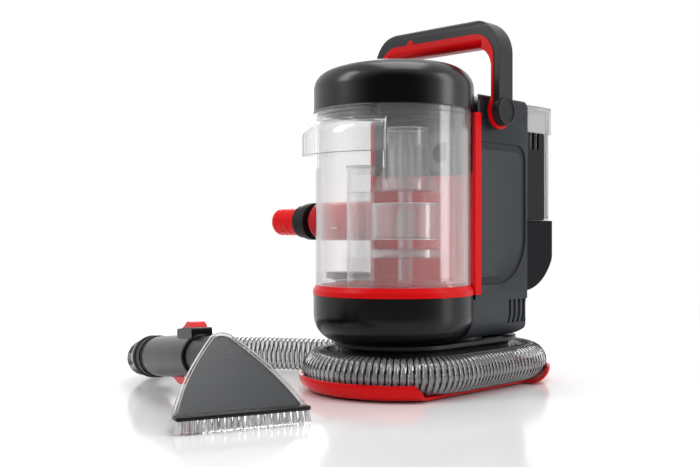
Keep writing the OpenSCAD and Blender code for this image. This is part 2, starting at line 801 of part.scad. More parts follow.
module control_board() color([0.1, 0.35, 0.2]) {
    board_y = upper_y - 14;
    translate([-60, board_y, 236]) cube([40, 1.6, 52]);
    for (x = [-54, -26], z = [242, 282])
        translate([x, board_y + 1.6 - eps, z]) rotate([-90, 0, 0])
            cylinder(h = upper_y - body_wall - board_y - 1.6 + eps, r = 3);
    translate([-52, board_y - 10, 250]) cube([18, 10 + eps, 24]);
    translate([-30, board_y - 14, 258]) rotate([-90, 0, 0]) cylinder(h = 14 + eps, r = 5);
}

button_z = body_top - 4.5;
button_travel = 3;

module switch_body() color([0.08, 0.08, 0.08]) translate([0, button_y, 0]) difference() {
    union() {
        along_z(button_z - button_travel - 20, button_z - button_travel - slip)
            square([24, 18], center = true);
        both_sides() along_z(button_z - button_travel - 20, body_top - cap_t)
            translate([11.9, -9]) square([5, 18]);
    }
    along_z(button_z - button_travel - 12, body_top) circle(3.4);
    along_z(button_z - button_travel - slip, body_top)
        round_rect([-button_l / 2 - 1, -button_w / 2 - 1], [button_l / 2 + 1, button_w / 2 + 1], 5);
}

module power_button() color([0.82, 0.05, 0.06]) translate([0, button_y, 0]) {
    along_z(button_z, body_top + 2.5)
        round_rect([-button_l / 2, -button_w / 2], [button_l / 2, button_w / 2], 4.5);
    along_z(button_z - 7, button_z + eps) circle(3);
}

// ---- handle ------------------------------------------------------------------
liner_top = handle_top - 16;
grip_low = handle_top - 30;
knuckle_r = 15.5;
bend_out = 38;

// Outline of a bail seen from the front: half width x, top z, bend radius b.
module bail2d(x, z, b) {
    translate([-x, pivot_z]) square([2 * x, z - b - pivot_z]);
    translate([-x + b, pivot_z]) square([2 * x - 2 * b, z - pivot_z]);
    for (s = [-1, 1]) translate([s * (x - b), z - b]) circle(b);
}

// Side view of the bail: round top edges and a round knuckle at the pivot.
module bail_side2d(w, top, r, knuckle) {
    translate([pivot_y - w / 2, pivot_z]) square([w, top - r - pivot_z]);
    translate([pivot_y - w / 2 + r, pivot_z]) square([w - 2 * r, top - pivot_z]);
    for (s = [-1, 1]) translate([pivot_y + s * (w / 2 - r), top - r]) circle(r);
    translate([pivot_y, pivot_z]) circle(knuckle);
}

module knuckles(x0, x1, r) both_sides() translate([x0, pivot_y, pivot_z]) rotate([0, 90, 0])
    cylinder(h = x1 - x0, r = r);

module handle_frame() color([0.06, 0.06, 0.07]) difference() {
    intersection() {
        along_y(pivot_y - 20, pivot_y + 20) {
            bail2d(arm_out, handle_top, bend_out);
            translate([-arm_out, pivot_z - 30]) square([2 * arm_out, 31]);
        }
        along_x(-200, 200) bail_side2d(handle_d, handle_top, 9, knuckle_r);
    }
    along_y(pivot_y - 30, pivot_y + 30) {
        bail2d(arm_out - shell_arm, liner_top, bend_out - 12);
        translate([-arm_out + shell_arm, pivot_z - 40]) square([2 * (arm_out - shell_arm), 41]);
    }
    knuckles(arm_out - shell_arm - 1, arm_out - 2.5, pin_r + 0.05);
}

module handle_liner() color([0.82, 0.05, 0.06]) difference() {
    intersection() {
        along_y(pivot_y - 20, pivot_y + 20) difference() {
            union() {
                bail2d(arm_out - shell_arm, liner_top, bend_out - 12);
                translate([-arm_out + shell_arm, pivot_z - 30]) square([2 * arm_out - 2 * shell_arm, 31]);
            }
            bail2d(arm_in, grip_low, bend_out - 16);
            translate([-arm_in, pivot_z - 31]) square([2 * arm_in, 32]);
        }
        along_x(-200, 200) bail_side2d(handle_d + 2, handle_top, 9, knuckle_r + 3);
    }
    knuckles(arm_in - 1, arm_out - shell_arm + 1, pin_r + 0.05);
    // round the lower edges of the hand grip
    along_x(-arm_in + 12, arm_in - 12) difference() {
        translate([pivot_y - 20, grip_low - 1]) square([40, 9]);
        translate([pivot_y - handle_d / 2 + 7, grip_low - 2]) square([handle_d - 14, 12]);
        for (s = [-1, 1]) translate([pivot_y + s * (handle_d / 2 - 7), grip_low + 8]) circle(8);
    }
}

// Small round tab on the front of the hand grip.
module grip_tab() color([0.82, 0.05, 0.06]) intersection() {
    along_y(pivot_y - handle_d / 2 - 0.9, pivot_y - handle_d / 2) translate([-33, liner_top]) circle(4.8);
    translate([-200, -200, liner_top]) cube([400, 400, 20]);
}

module pivot_caps() color([0.3, 0.3, 0.32]) difference() {
    knuckles(arm_out, arm_out + 1.6, knuckle_r - 1);
    knuckles(arm_out + 0.8, arm_out + 2, knuckle_r - 3);
}

module handle_pins() color([0.6, 0.6, 0.62])
    knuckles(side_x - body_wall - 8, arm_out - 3, pin_r);

// ---- waste tank ----------------------------------------------------------------
hood_top = lid_z - 12;
hood_low = hood_top - 35;
hood_end = 1.6;         // angle of the hood's end wall
neck_in = 1.2;

module tank_shell() color([0.85, 0.88, 0.9, 0.35]) at_tank() {
    difference() {
        rotate_extrude() {
            difference() {
                polygon([[0, bowl_z + seat], [foot_plug_r, bowl_z + seat], [tank_r - 4, ring_top + seat],
                    [tank_r, ring_top + seat], [tank_r, lid_z], [tank_r - neck_in, lid_z],
                    [tank_r - neck_in, lid_z + 16], [0, lid_z + 16]]);
                polygon([
                    [-eps, bowl_z + seat + tank_wall], [foot_plug_r - tank_wall, bowl_z + seat + tank_wall],
                    [tank_r - 4 - tank_wall, ring_top + 2], [tank_r - tank_wall, ring_top + 3],
                    [tank_r - tank_wall, lid_z - 6], [tank_r - neck_in - tank_wall, lid_z - 4],
                    [tank_r - neck_in - tank_wall, lid_z + 17], [-eps, lid_z + 17]]);
            }
            // fine rings under the lid
            for (k = [0 : 3]) translate([tank_r - 0.5, lid_z - 5 - 4 * k]) square([1.1, 1.4]);
        }
        // suction port at the rear
        translate([0, 0, port_z]) rotate([-90, 0, 0]) cylinder(h = 200, r = port_r - 1);
    }
    hood();
}

// Section of the finger hood: round at the top, open below.
module hood_section(i) intersection() {
    union() {
        translate([tank_r + hood_out - 16, hood_top - 16]) circle(16 - i);
        translate([tank_r - 2, hood_low - 3]) square([hood_out + 2 - i, hood_top - 16 - hood_low + 3]);
        translate([tank_r - 2, hood_low - 3]) square([hood_out - 14, hood_top - hood_low + 3 - i]);
    }
    translate([tank_r - 1 + i, hood_low - i]) square([40, 100]);
}

// The hood stands out from the tank's front, with an end wall on each side.
module hood() difference() {
    rotate([0, 0, -90 - hood_half]) rotate_extrude(angle = 2 * hood_half) hood_section(0);
    rotate([0, 0, -90 - hood_half + hood_end]) rotate_extrude(angle = 2 * hood_half - 2 * hood_end)
        hood_section(tank_wall);
    translate([0, 0, hood_low - 5]) cylinder(h = 60, r = tank_r - tank_wall / 2);
}

module tank_seal() color([0.05, 0.05, 0.05]) at_tank() rotate_extrude()
    translate([tank_r - neck_in - tank_wall, lid_z + 16]) square([tank_wall, 1.6]);

tower_y = 20;
module at_tower() at_tank() translate([0, tower_y, 0]) children();
tank_floor_z = bowl_z + seat + tank_wall;
pipe_r = 8;
cage_r = 24;
cage_z = 206;
cage_top = 272;
cup_z = 155;
cup_h = 38;
stop_z = 136;

module standpipe() color([0.9, 0.92, 0.94, 0.4]) at_tower() {
    difference() {
        translate([0, 0, tank_floor_z]) cylinder(h = cage_top - tank_floor_z, r = pipe_r);
        translate([0, 0, tank_floor_z + 8]) cylinder(h = 300, r = pipe_r - 1.8);
    }
    // stop collar below the float
    difference() {
        translate([0, 0, stop_z]) cylinder(h = 9, r = float_r);
        translate([0, 0, stop_z - 1]) cylinder(h = 11, r = float_r - 2);
    }
    for (a = [0 : 60 : 300]) rotate([0, 0, a])
        translate([pipe_r - 1, -1, stop_z + 2]) cube([float_r - pipe_r, 2, 5]);
}

module separator_cage() color([0.85, 0.87, 0.9, 0.5]) at_tower() {
    difference() {
        translate([0, 0, cage_z]) cylinder(h = cage_top - cage_z, r = cage_r);
        translate([0, 0, cage_z + 2]) cylinder(h = cage_top - cage_z, r = cage_r - 2);
        translate([0, 0, cage_z - 1]) cylinder(h = 10, r = pipe_r);
        for (a = [0 : 45 : 315]) rotate([0, 0, a + 22.5])
            translate([cage_r - 6, -5, cage_z + 12]) cube([12, 10, 36]);
    }
    // fins that centre the cage on the standpipe
    for (a = [0 : 90 : 270]) rotate([0, 0, a])
        translate([pipe_r, -0.9, cage_z + 1]) cube([cage_r - pipe_r - 1, 1.8, 50]);
    // sloping splash wings
    for (a = [0, 180]) rotate([0, 0, a + 30]) difference() {
        translate([cage_r - 1, -9, cage_z]) cube([14, 18, 22]);
        translate([cage_r - 1, -10, cage_z + 22]) rotate([0, 56, 0]) cube([60, 20, 40]);
        translate([cage_r + 1, -7.4, cage_z - 1]) cube([20, 14.8, 24]);
    }
}

module float_cup() color([0.9, 0.9, 0.92, 0.6]) at_tower() difference() {
    translate([0, 0, cup_z]) cylinder(h = cup_h, r = float_r);
    translate([0, 0, cup_z - 1]) cylinder(h = cup_h + 2, r = pipe_r + 0.4);
    translate([0, 0, cup_z + 3]) difference() {
        cylinder(h = cup_h, r = float_r - 2);
        translate([0, 0, -1]) cylinder(h = cup_h, r = pipe_r + 2.4);
    }
    translate([0, 0, cup_z + cup_h - 8]) cylinder(h = 20, r = float_r - 5);
}

module inlet_pipe() color([0.9, 0.92, 0.94, 0.4]) at_tank() translate([-50, 4, 0]) {
    difference() {
        translate([0, 0, tank_floor_z]) cylinder(h = 234 - tank_floor_z, r = 15);
        translate([0, 0, tank_floor_z + 3]) cylinder(h = 300, r = 13);
        translate([0, -20, 206]) cube([40, 40, 18]);
    }
    translate([0, 0, 232]) cylinder(h = 2, r = 16.5);
}

// Section of the lid's outside, moved inwards by i.
module lid2d(i) {
    shoulder = 30;
    crown_r = 360;
    edge_z = lid_z + lid_h - 8;
    intersection() {
        union() {
            translate([0, lid_z - 1]) square([lid_r - i, edge_z - shoulder - lid_z + 11]);
            translate([0, lid_z - 1]) square([lid_r - shoulder, lid_h + 4]);
            translate([lid_r - shoulder, edge_z - shoulder + 10]) scale([1, 0.8]) circle(shoulder - i);
        }
        translate([0, lid_z + lid_h - crown_r]) circle(crown_r - i, $fn = 400);
        translate([0, lid_z - (i > 0 ? 1 : 0)]) square([100, 80]);
    }
}

module tank_lid() color([0.05, 0.05, 0.06]) at_tank() difference() {
    rotate_extrude() {
        difference() {
            lid2d(0);
            lid2d(lid_over + neck_in - 0.4);
        }
        // plate that presses on the seal
        translate([0, lid_z + 16 + 1.6 + 0.1]) square([tank_r - 0.5, 2.4]);
    }
    // stop recess of the twist lock, cut in the skirt's inside
    for (a = [0 : 90 : 270]) rotate([0, 0, a]) translate([tank_r - 2, -6, lid_z - 1]) cube([2.6, 12, 7]);
}

module lid_filter() color([0.85, 0.85, 0.83]) at_tower() {
    top = lid_z + 16 + 1.7;
    difference() {
        translate([0, 0, lid_z + 1]) cylinder(h = top - lid_z - 1, r = 30);
        translate([0, 0, lid_z]) cylinder(h = top - lid_z - 3, r = 26);
    }
}

// ---- clean tank -----------------------------------------------------------------
module clean_plan(x, i) {
    r = clean_bend - i;
    y1 = clean_y + clean_d - i;
    translate([-x + i, clean_y + i]) square([2 * x - 2 * i, y1 - r - clean_y - i]);
    translate([-x + i + r, clean_y + i]) square([2 * x - 2 * i - 2 * r, y1 - clean_y - i]);
    for (s = [-1, 1]) translate([s * (x - i - r), y1 - r]) circle(r);
}

// Lathed form about the axis of the clean tank's outlet.
module at_outlet(y) translate([0, clean_y + y, valve_z]) rotate([-90, 0, 0]) children();

module clean_tank() color([0.85, 0.88, 0.9, 0.35]) {
    difference() {
        union() {
            along_z(clean_z, clean_top) clean_plan(clean_x, 0);
            along_z(shoulder_z, clean_top) clean_plan(side_x - 0.5, 0);
        }
        difference() {
            union() {
                along_z(clean_z + tank_wall, clean_top - tank_wall) clean_plan(clean_x, tank_wall);
                along_z(shoulder_z + tank_wall, clean_top - tank_wall) clean_plan(side_x - 0.5, tank_wall);
            }
            at_outlet(0) cylinder(h = pocket_d + tank_wall, r = pocket_r + tank_wall);
        }
        at_outlet(-1) cylinder(h = pocket_d + 1, r = pocket_r);
        at_outlet(0) cylinder(h = pocket_d + 2 * tank_wall, r = cap_neck_r - 2);
    }
    // outlet neck
    at_outlet(pocket_d - 10.5) difference() {
        cylinder(h = 11, r = cap_neck_r);
        translate([0, 0, -1]) cylinder(h = 20, r = cap_neck_r - 2);
    }
}

module clean_cap() color([0.82, 0.05, 0.06]) at_outlet(pocket_d - 13) difference() {
    union() {
        cylinder(h = 12, r = cap_out_r - 1);
        for (a = [0 : 20 : 340]) rotate([0, 0, a])
            translate([cap_out_r - 2, -1, 0]) cube([2, 2, 12]);
    }
    translate([0, 0, 2.2]) cylinder(h = 20, r = cap_neck_r + 0.1);
    translate([0, 0, -1]) cylinder(h = 5, r = 4.1);
}

module outlet_valve() color([0.85, 0.85, 0.85]) {
    disc_y = pocket_d - 10.6;
    at_outlet(disc_y) cylinder(h = 3, r = cap_neck_r - 2.6);
    at_outlet(socket_y + 8 - clean_y) cylinder(h = clean_y + disc_y - socket_y - 7, r = 3.8);
}

// ---- spray tool --------------------------------------------------------------------
apex_r = 15;

// Slanted frame of the nozzle's front face: x across, y up the slope, z out of
// the face.
module face_frame() tool_frame() translate([0, 0, face_z]) rotate([face_lean, 0, 0]) children();

// Outline of the fan-shaped face, moved inwards by i: round apex, slightly
// bowed flanks.
module fan2d(i) {
    top = face_len - apex_r;
    w = mouth_w / 2;
    bow = 5;
    n = 12;
    lean = atan2(w - apex_r, top);
    arc = [for (k = [0 : n]) let (a = lean + (180 - 2 * lean) * k / n)
        [(apex_r - i) * cos(a), top + (apex_r - i) * sin(a)]];
    rise = top + apex_r * sin(lean);
    foot = w - apex_r * cos(lean);
    flank = [for (k = [0 : n - 1]) let (t = k / n)
        [w - foot * t + bow * sin(180 * t) - i / cos(lean), rise * t]];
    mirrored = [for (k = [n - 1 : -1 : 0]) [-flank[k][0], flank[k][1]]];
    polygon(concat(flank, arc, mirrored));
}

neck_out_r = 18;
neck_in_r = 15;

module under_mouth() tool_frame() translate([-100, -60, -50]) cube([200, 200, 50 + face_z]);

module nozzle_cover() color([0.8, 0.83, 0.86, 0.4]) difference() {
    face_frame() difference() {
        translate([0, 0, -nozzle_t]) linear_extrude(nozzle_t) fan2d(0);
        translate([0, 0, -nozzle_t - 1]) linear_extrude(nozzle_t - 1.5) fan2d(2.5);
        translate([0, -3, -nozzle_t - 1]) linear_extrude(nozzle_t - 1.5) fan2d(2.5);
    }
    under_mouth();
    // room for the neck
    intersection() {
        grip_frame() grip_lathe() translate([0, -34]) square([neck_out_r + seat, 80]);
        face_frame() translate([-100, -20, -200 - 2.6]) cube([200, 200, 200]);
    }
}

module nozzle_body() color([0.13, 0.14, 0.15]) {
    difference() {
        union() {
            face_frame() translate([0, 0, -nozzle_t]) linear_extrude(nozzle_t - 2.8) fan2d(2.8);
            intersection() {
                grip_frame() grip_lathe() translate([0, -30]) square([neck_out_r, neck_end + 30]);
                face_frame() translate([-100, -20, -200 - 2.9]) cube([200, 200, 200]);
            }
        }
        // air channel behind the face
        face_frame() translate([0, -2, -nozzle_t + 2]) linear_extrude(nozzle_t - 6.8) fan2d(6);
        intersection() {
            grip_frame() grip_lathe() translate([0, -60]) square([neck_in_r, neck_end + 70]);
            face_frame() translate([-100, -20, -200 - 5]) cube([200, 200, 200]);
        }
        under_mouth();
    }
}

module brush_bar() color([0.07, 0.07, 0.08]) tool_frame() translate([0, 0, bristle_h]) {
    along_z(0, 1.5 - seat) round_rect([-mouth_w / 2 + 1, -8], [mouth_w / 2 - 1, 5.5], 3);
    along_z(0, 8) round_rect([-mouth_w / 2 + 1, -8], [mouth_w / 2 - 1, -0.6], 3);
}

module bristles() color([0.95, 0.95, 0.95]) tool_frame() {
    pitch = (mouth_w - 10) / (tufts - 1);
    for (row = [0, 1], k = [0 : tufts - 1 - row])
        translate([-(mouth_w - 10) / 2 + (k + row / 2) * pitch, -4.6 + row * 6, 0.4])
            cylinder(h = bristle_h - 0.4, r1 = 2.2, r2 = 1.6);
}

module tool_grip() color([0.12, 0.12, 0.13]) grip_frame() {
    difference() {
        union() {
            grip_lathe() {
                intersection() {
                    translate([0, neck_end + seat]) round_rect([-8, 0], [grip_r, grip_len], 3);
                    square([grip_r, grip_end]);
                }
                translate([0, neck_end - 26]) square([neck_in_r - slip, 40]);
            }
            // latch block on top and trigger guard below
            along_x(-10, 10) round_rect([neck_end + 2, grip_r - 8], [neck_end + 44, grip_r + 6], 3);
        }
        grip_lathe() translate([0, neck_end - 30]) square([grip_bore, grip_len + 80]);
        // pocket of the latch button
        along_x(-8, 8) translate([neck_end + 8, grip_r - 6]) square([30, 20]);
        // pocket of the trigger
        along_x(-7, 7) translate([neck_end + 24, -grip_r - 10]) square([54, 16.5]);
        translate([-30, trig_y, trig_z]) rotate([0, 90, 0]) cylinder(h = 60, r = 2.05);
    }
}

trig_y = neck_end + 30;
trig_z = -grip_r + 2;

module trigger() color([0.82, 0.05, 0.06]) grip_frame() along_x(-6.6, 6.6) difference() {
    union() {
        translate([trig_y, trig_z]) circle(4.5);
        polygon(concat(
            [[trig_y - 1, trig_z + 4], [trig_y + 8, trig_z + 3.6], [trig_y + 38, trig_z + 1]],
            [for (k = [0 : 10]) let (t = 1 - k / 10)
                [trig_y - 3 + 43 * t, trig_z - 3 - 5.5 * sin(180 * t) + 1.5 * t]]));
    }
    translate([trig_y, trig_z]) circle(2.1);
}

module trigger_pin() color([0.6, 0.6, 0.62]) grip_frame()
    translate([-8.4, trig_y, trig_z]) rotate([0, 90, 0]) cylinder(h = 16.8, r = 2);

module latch_button() color([0.82, 0.05, 0.06]) grip_frame() along_x(-7.7, 7.7) {
    polygon(concat(
        [[neck_end + 37.7, grip_r - 2], [neck_end + 8.3, grip_r - 2]],
        [for (k = [0 : 12]) let (t = k / 12)
            [neck_end + 8.3 + 29.4 * t, grip_r + 6.5 + 4.5 * sin(180 * t) + 2 * sin(360 * t)]]));
}

module grip_cuff() color([0.07, 0.07, 0.08]) grip_frame() grip_lathe() difference() {
    union() {
        translate([0, grip_end]) square([cuff_r - 1, cuff_len]);
        translate([0, grip_end + 6]) square([cuff_r, 4]);
        translate([0, grip_end + cuff_len - 9]) intersection() {
            square([cuff_r + 0.5, 9]);
            translate([cuff_r - 7.5, 4]) circle(8);
        }
    }
    translate([-1, grip_end - 1]) square([1 + grip_bore, cuff_len + 2]);
}

// ---- assembly ---------------------------------------------------------------------
base_tray();
tray_feet();
tray_screws();
pedestal();
front_bowl();
right_shell();
left_shell();
rear_shroud();
top_cap();
bezel();
bay_liner();
bay_upper();
tool_post();
post_rings();
post_peg();
tool_shelf();
cord_gland();
hose_elbow();
hose_cuff();
suction_hose();
motor_mount();
motor_can();
fan_housing();
fan_impeller();
motor_shaft();
suction_duct();
pump_body();
pump_bracket();
water_line();
valve_socket();
control_board();
switch_body();
power_button();
handle_pins();
handle_frame();
handle_liner();
grip_tab();
pivot_caps();
tank_shell();
tank_seal();
separator_cage();
standpipe();
inlet_pipe();
float_cup();
tank_lid();
lid_filter();
clean_tank();
clean_cap();
outlet_valve();
nozzle_body();
nozzle_cover();
brush_bar();
bristles();
tool_grip();
grip_cuff();
trigger();
trigger_pin();
latch_button();
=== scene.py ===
import json
import math
import random

import bpy
from mathutils import Matrix, Vector


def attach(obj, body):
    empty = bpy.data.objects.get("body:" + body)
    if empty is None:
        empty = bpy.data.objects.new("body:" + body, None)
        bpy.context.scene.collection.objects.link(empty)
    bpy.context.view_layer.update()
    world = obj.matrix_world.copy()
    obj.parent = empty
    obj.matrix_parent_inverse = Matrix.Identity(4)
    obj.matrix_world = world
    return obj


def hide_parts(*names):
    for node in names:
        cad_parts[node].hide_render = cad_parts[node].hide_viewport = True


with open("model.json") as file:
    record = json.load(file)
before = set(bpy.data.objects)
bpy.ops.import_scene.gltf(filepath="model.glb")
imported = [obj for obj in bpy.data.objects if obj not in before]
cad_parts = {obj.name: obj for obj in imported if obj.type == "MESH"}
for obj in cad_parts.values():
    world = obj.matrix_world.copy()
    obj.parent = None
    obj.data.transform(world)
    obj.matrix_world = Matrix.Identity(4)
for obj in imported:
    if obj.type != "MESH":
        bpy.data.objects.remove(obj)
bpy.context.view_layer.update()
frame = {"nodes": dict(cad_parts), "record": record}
NODES = frame["nodes"]
random.seed(7)
MM = 0.001


def mm(*v):
    """A point given in millimetres."""
    return Vector([c * MM for c in v])


# ---------------------------------------------------------------- camera
# place, turn and lens as solved from the photo
CAMERA_AT = (0.6835, -0.8422, 0.160)
CAMERA_TURN = 43.5
CAMERA_LENS, CAMERA_SHIFT = 51.43, 0.0021

cam_data = bpy.data.cameras.new("camera")
cam = bpy.data.objects.new("camera", cam_data)
bpy.context.scene.collection.objects.link(cam)
cam.location = CAMERA_AT
cam.rotation_euler = (math.radians(90), 0, math.radians(CAMERA_TURN))
cam_data.sensor_width = 36
cam_data.lens = CAMERA_LENS
cam_data.shift_y = CAMERA_SHIFT
cam_data.clip_start = 0.01
cam_data.clip_end = 50
bpy.context.scene.camera = cam


# ---------------------------------------------------------------- shader nodes
def new_node(tree, kind, **settings):
    """Adds a node to a node tree."""
    o = tree.nodes.new(kind)
    for k, v in settings.items():
        setattr(o, k, v)
    return o


def map_range(tree, factor, bounds, values, kind="LINEAR"):
    """Maps a factor from its bounds to a value range."""
    o = new_node(tree, "ShaderNodeMapRange", interpolation_type=kind)
    for key, v in zip(("From Min", "From Max", "To Min", "To Max"), (*bounds, *values)):
        o.inputs[key].default_value = v
    tree.links.new(factor, o.inputs["Value"])
    return o.outputs["Result"]


def mix_shaders(tree, under, over, share):
    """Mixes two shaders; share is the upper one's."""
    o = new_node(tree, "ShaderNodeMixShader")
    tree.links.new(share, o.inputs["Fac"])
    tree.links.new(under, o.inputs[1])
    tree.links.new(over, o.inputs[2])
    return o.outputs["Shader"]


def combine(tree, operation, first, second):
    """One step of arithmetic on two factors; the first may be a number."""
    o = new_node(tree, "ShaderNodeMath", operation=operation)
    if isinstance(first, float):
        o.inputs[0].default_value = first
    else:
        tree.links.new(first, o.inputs[0])
    tree.links.new(second, o.inputs[1])
    return o.outputs[0]


# ---------------------------------------------------------------- materials
EDGE_R, EDGE_SAMPLES = 0.7 * MM, 6    # rounding that sharp edges seem to have
NOISE_BAND = (0.3, 0.7)          # where most of a noise's values lie
WORN_BAND, WORN_MOST = (0.52, 0.6), 0.35    # pointiness of worn edges, and the most wear
EDGE_ON = 0.97                   # facing value that counts as edge on
MIRROR_FROM = 0.3                # facing value from which the mirror layer grows
DARK = (0.004, 0.004, 0.005)


class Mat:
    """A node material on one Principled shader."""

    def __init__(self, name, color, rough, soft_edges=True, **kw):
        self.m = bpy.data.materials.new(name)
        self.m.use_nodes = True
        self.t = self.m.node_tree
        self.n = self.t.nodes
        self.b = self.n["Principled BSDF"]
        self.b.inputs["Base Color"].default_value = (*color, 1)
        self.b.inputs["Roughness"].default_value = rough
        for k, v in kw.items():
            self.b.inputs[k.replace("_", " ")].default_value = v
        self.coord = self.n.new("ShaderNodeTexCoord")
        # rounds the look of sharp edges, so that they catch the light
        self.edge = None
        if soft_edges:
            self.edge = self.node("ShaderNodeBevel", samples=EDGE_SAMPLES)
            self.edge.inputs["Radius"].default_value = EDGE_R
            self.link(self.edge.outputs["Normal"], self.b.inputs["Normal"])

    def link(self, a, b):
        self.t.links.new(a, b)

    def node(self, kind, **settings):
        return new_node(self.t, kind, **settings)

    def noise(self, scale, detail=3.0, rough=0.5, stretch=None):
        """Noise in the object's own coordinates; stretch scales its axes."""
        o = self.node("ShaderNodeTexNoise")
        o.inputs["Scale"].default_value = scale
        o.inputs["Detail"].default_value = detail
        o.inputs["Roughness"].default_value = rough
        src = self.coord.outputs["Object"]
        if stretch:
            mp = self.node("ShaderNodeMapping")
            mp.inputs["Scale"].default_value = stretch
            self.link(src, mp.inputs["Vector"])
            src = mp.outputs["Vector"]
        self.link(src, o.inputs["Vector"])
        return o.outputs["Fac"]

    def ramp(self, fac, stops, lo=0.0, hi=1.0):
        """Maps a factor from lo..hi to a value range."""
        return map_range(self.t, fac, (lo, hi), stops)

    def mix(self, first, second, factor):
        """Mixes two colours, each given as a value or a socket."""
        o = self.node("ShaderNodeMix", data_type="RGBA")
        for key, v in (("A", first), ("B", second)):
            if isinstance(v, tuple):
                o.inputs[key].default_value = (*v, 1)
            else:
                self.link(v, o.inputs[key])
        self.link(factor, o.inputs["Factor"])
        return o.outputs["Result"]

    def layer(self, under, over, share):
        return mix_shaders(self.t, under, over, share)

    def bump(self, height, strength, distance, under=None):
        """Adds relief over the rounded edges, or over another relief."""
        o = self.node("ShaderNodeBump")
        o.inputs["Strength"].default_value = strength
        o.inputs["Distance"].default_value = distance
        self.link(height, o.inputs["Height"])
        under = under or self.edge
        if under:
            self.link(under.outputs["Normal"], o.inputs["Normal"])
        self.link(o.outputs["Normal"], self.b.inputs["Normal"])
        return o


def plastic(name, color, rough, spread=0.06, grain=1800, grain_amt=0.12, tone=0.12, wear=None,
            dark=None, **kw):
    """Moulded plastic: fine grain, slow roughness change, slight tone change
    and paler worn edges. dark gives a direction and two bounds: faces turned
    away from it are black. With no direction the bounds are on Y, in metres,
    and what lies behind them is black."""
    a = Mat(name, color, rough, **kw)
    slow = a.noise(9, 2)
    a.link(a.ramp(slow, (rough - spread, rough + spread), *NOISE_BAND), a.b.inputs["Roughness"])
    low = tuple(c * (1 - tone) for c in color)
    high = tuple(min(1, c * (1 + tone)) for c in color)
    out = a.mix(low, high, a.noise(14, 3))
    if wear:
        pointed = a.node("ShaderNodeNewGeometry").outputs["Pointiness"]
        out = a.mix(out, wear, a.ramp(pointed, (0, WORN_MOST), *WORN_BAND))
    if dark:
        facing, start, end = dark
        along = a.node("ShaderNodeVectorMath", operation="DOT_PRODUCT")
        a.link(a.coord.outputs["Normal" if facing else "Object"], along.inputs[0])
        along.inputs[1].default_value = facing or (0, 1, 0)
        share = a.ramp(along.outputs["Value"], (0, 1), start, end)
        out = a.mix(DARK, out, share) if facing else a.mix(out, DARK, share)
    a.link(out, a.b.inputs["Base Color"])
    first = a.bump(a.noise(grain, 2), grain_amt, 0.0002)
    a.bump(a.noise(22, 1), 0.05, 0.0006, first)
    return a.m


def clear(name, face_color, edge_color, face=0.08, edge=0.55, rough=0.05, ior=1.9, start=0.6,
          shine=(0.07, 0.45), lets_light=0.0, **kw):
    """Clear moulded plastic: a faint pale veil face on, denser and darker at
    grazing angles, under a mirror layer of its own. lets_light is the share of
    the lamps' light that passes to what stands behind it."""
    a = Mat(name, face_color, rough, IOR=ior, **kw)
    layer = a.node("ShaderNodeLayerWeight")
    layer.inputs["Blend"].default_value = 0.5
    facing = layer.outputs["Facing"]
    color = a.mix(face_color, edge_color, a.ramp(facing, (0, 1), start, EDGE_ON))
    a.link(color, a.b.inputs["Base Color"])
    a.link(a.ramp(facing, (face, edge), start, 1.0), a.b.inputs["Alpha"])
    a.link(a.ramp(a.noise(30, 3), (rough * 0.6, rough * 1.6), *NOISE_BAND), a.b.inputs["Roughness"])
    a.bump(a.noise(16, 2), 0.1, 0.0008)
    mirror = a.node("ShaderNodeBsdfGlossy")
    mirror.inputs["Roughness"].default_value = rough
    out = a.layer(a.b.outputs["BSDF"], mirror.outputs["BSDF"], a.ramp(facing, shine, MIRROR_FROM, 1.0))
    if lets_light:
        share = a.ramp(a.node("ShaderNodeLightPath").outputs["Is Shadow Ray"], (0, lets_light))
        out = a.layer(out, a.node("ShaderNodeBsdfTransparent").outputs["BSDF"], share)
    a.link(out, a.n["Material Output"].inputs["Surface"])
    return a.m


def metal(name, color, rough, stretch=(1, 1, 30)):
    """Metal with fine streaks, which run across the axis of the largest stretch."""
    a = Mat(name, color, rough, Metallic=1.0)
    streak = a.noise(90, 4, stretch=stretch)
    a.link(a.ramp(streak, (rough - 0.1, rough + 0.12), *NOISE_BAND), a.b.inputs["Roughness"])
    a.bump(streak, 0.1, 0.0002)
    return a.m


# where the spray tool lies, and which way its wide face looks
TOOL_AT, TOOL_TURN = (48, -301.6, 0), 71.5
FACE_LIFT, FACE_TILT = 12.5, 50
TOOL = Matrix.Translation(mm(*TOOL_AT)) @ Matrix.Rotation(math.radians(TOOL_TURN), 4, "Z")
FACE = TOOL @ Matrix.Translation(mm(0, 0, FACE_LIFT)) @ Matrix.Rotation(math.radians(FACE_TILT), 4, "X")
FACE_NORMAL = tuple(FACE.to_3x3() @ Vector((0, 0, 1)))

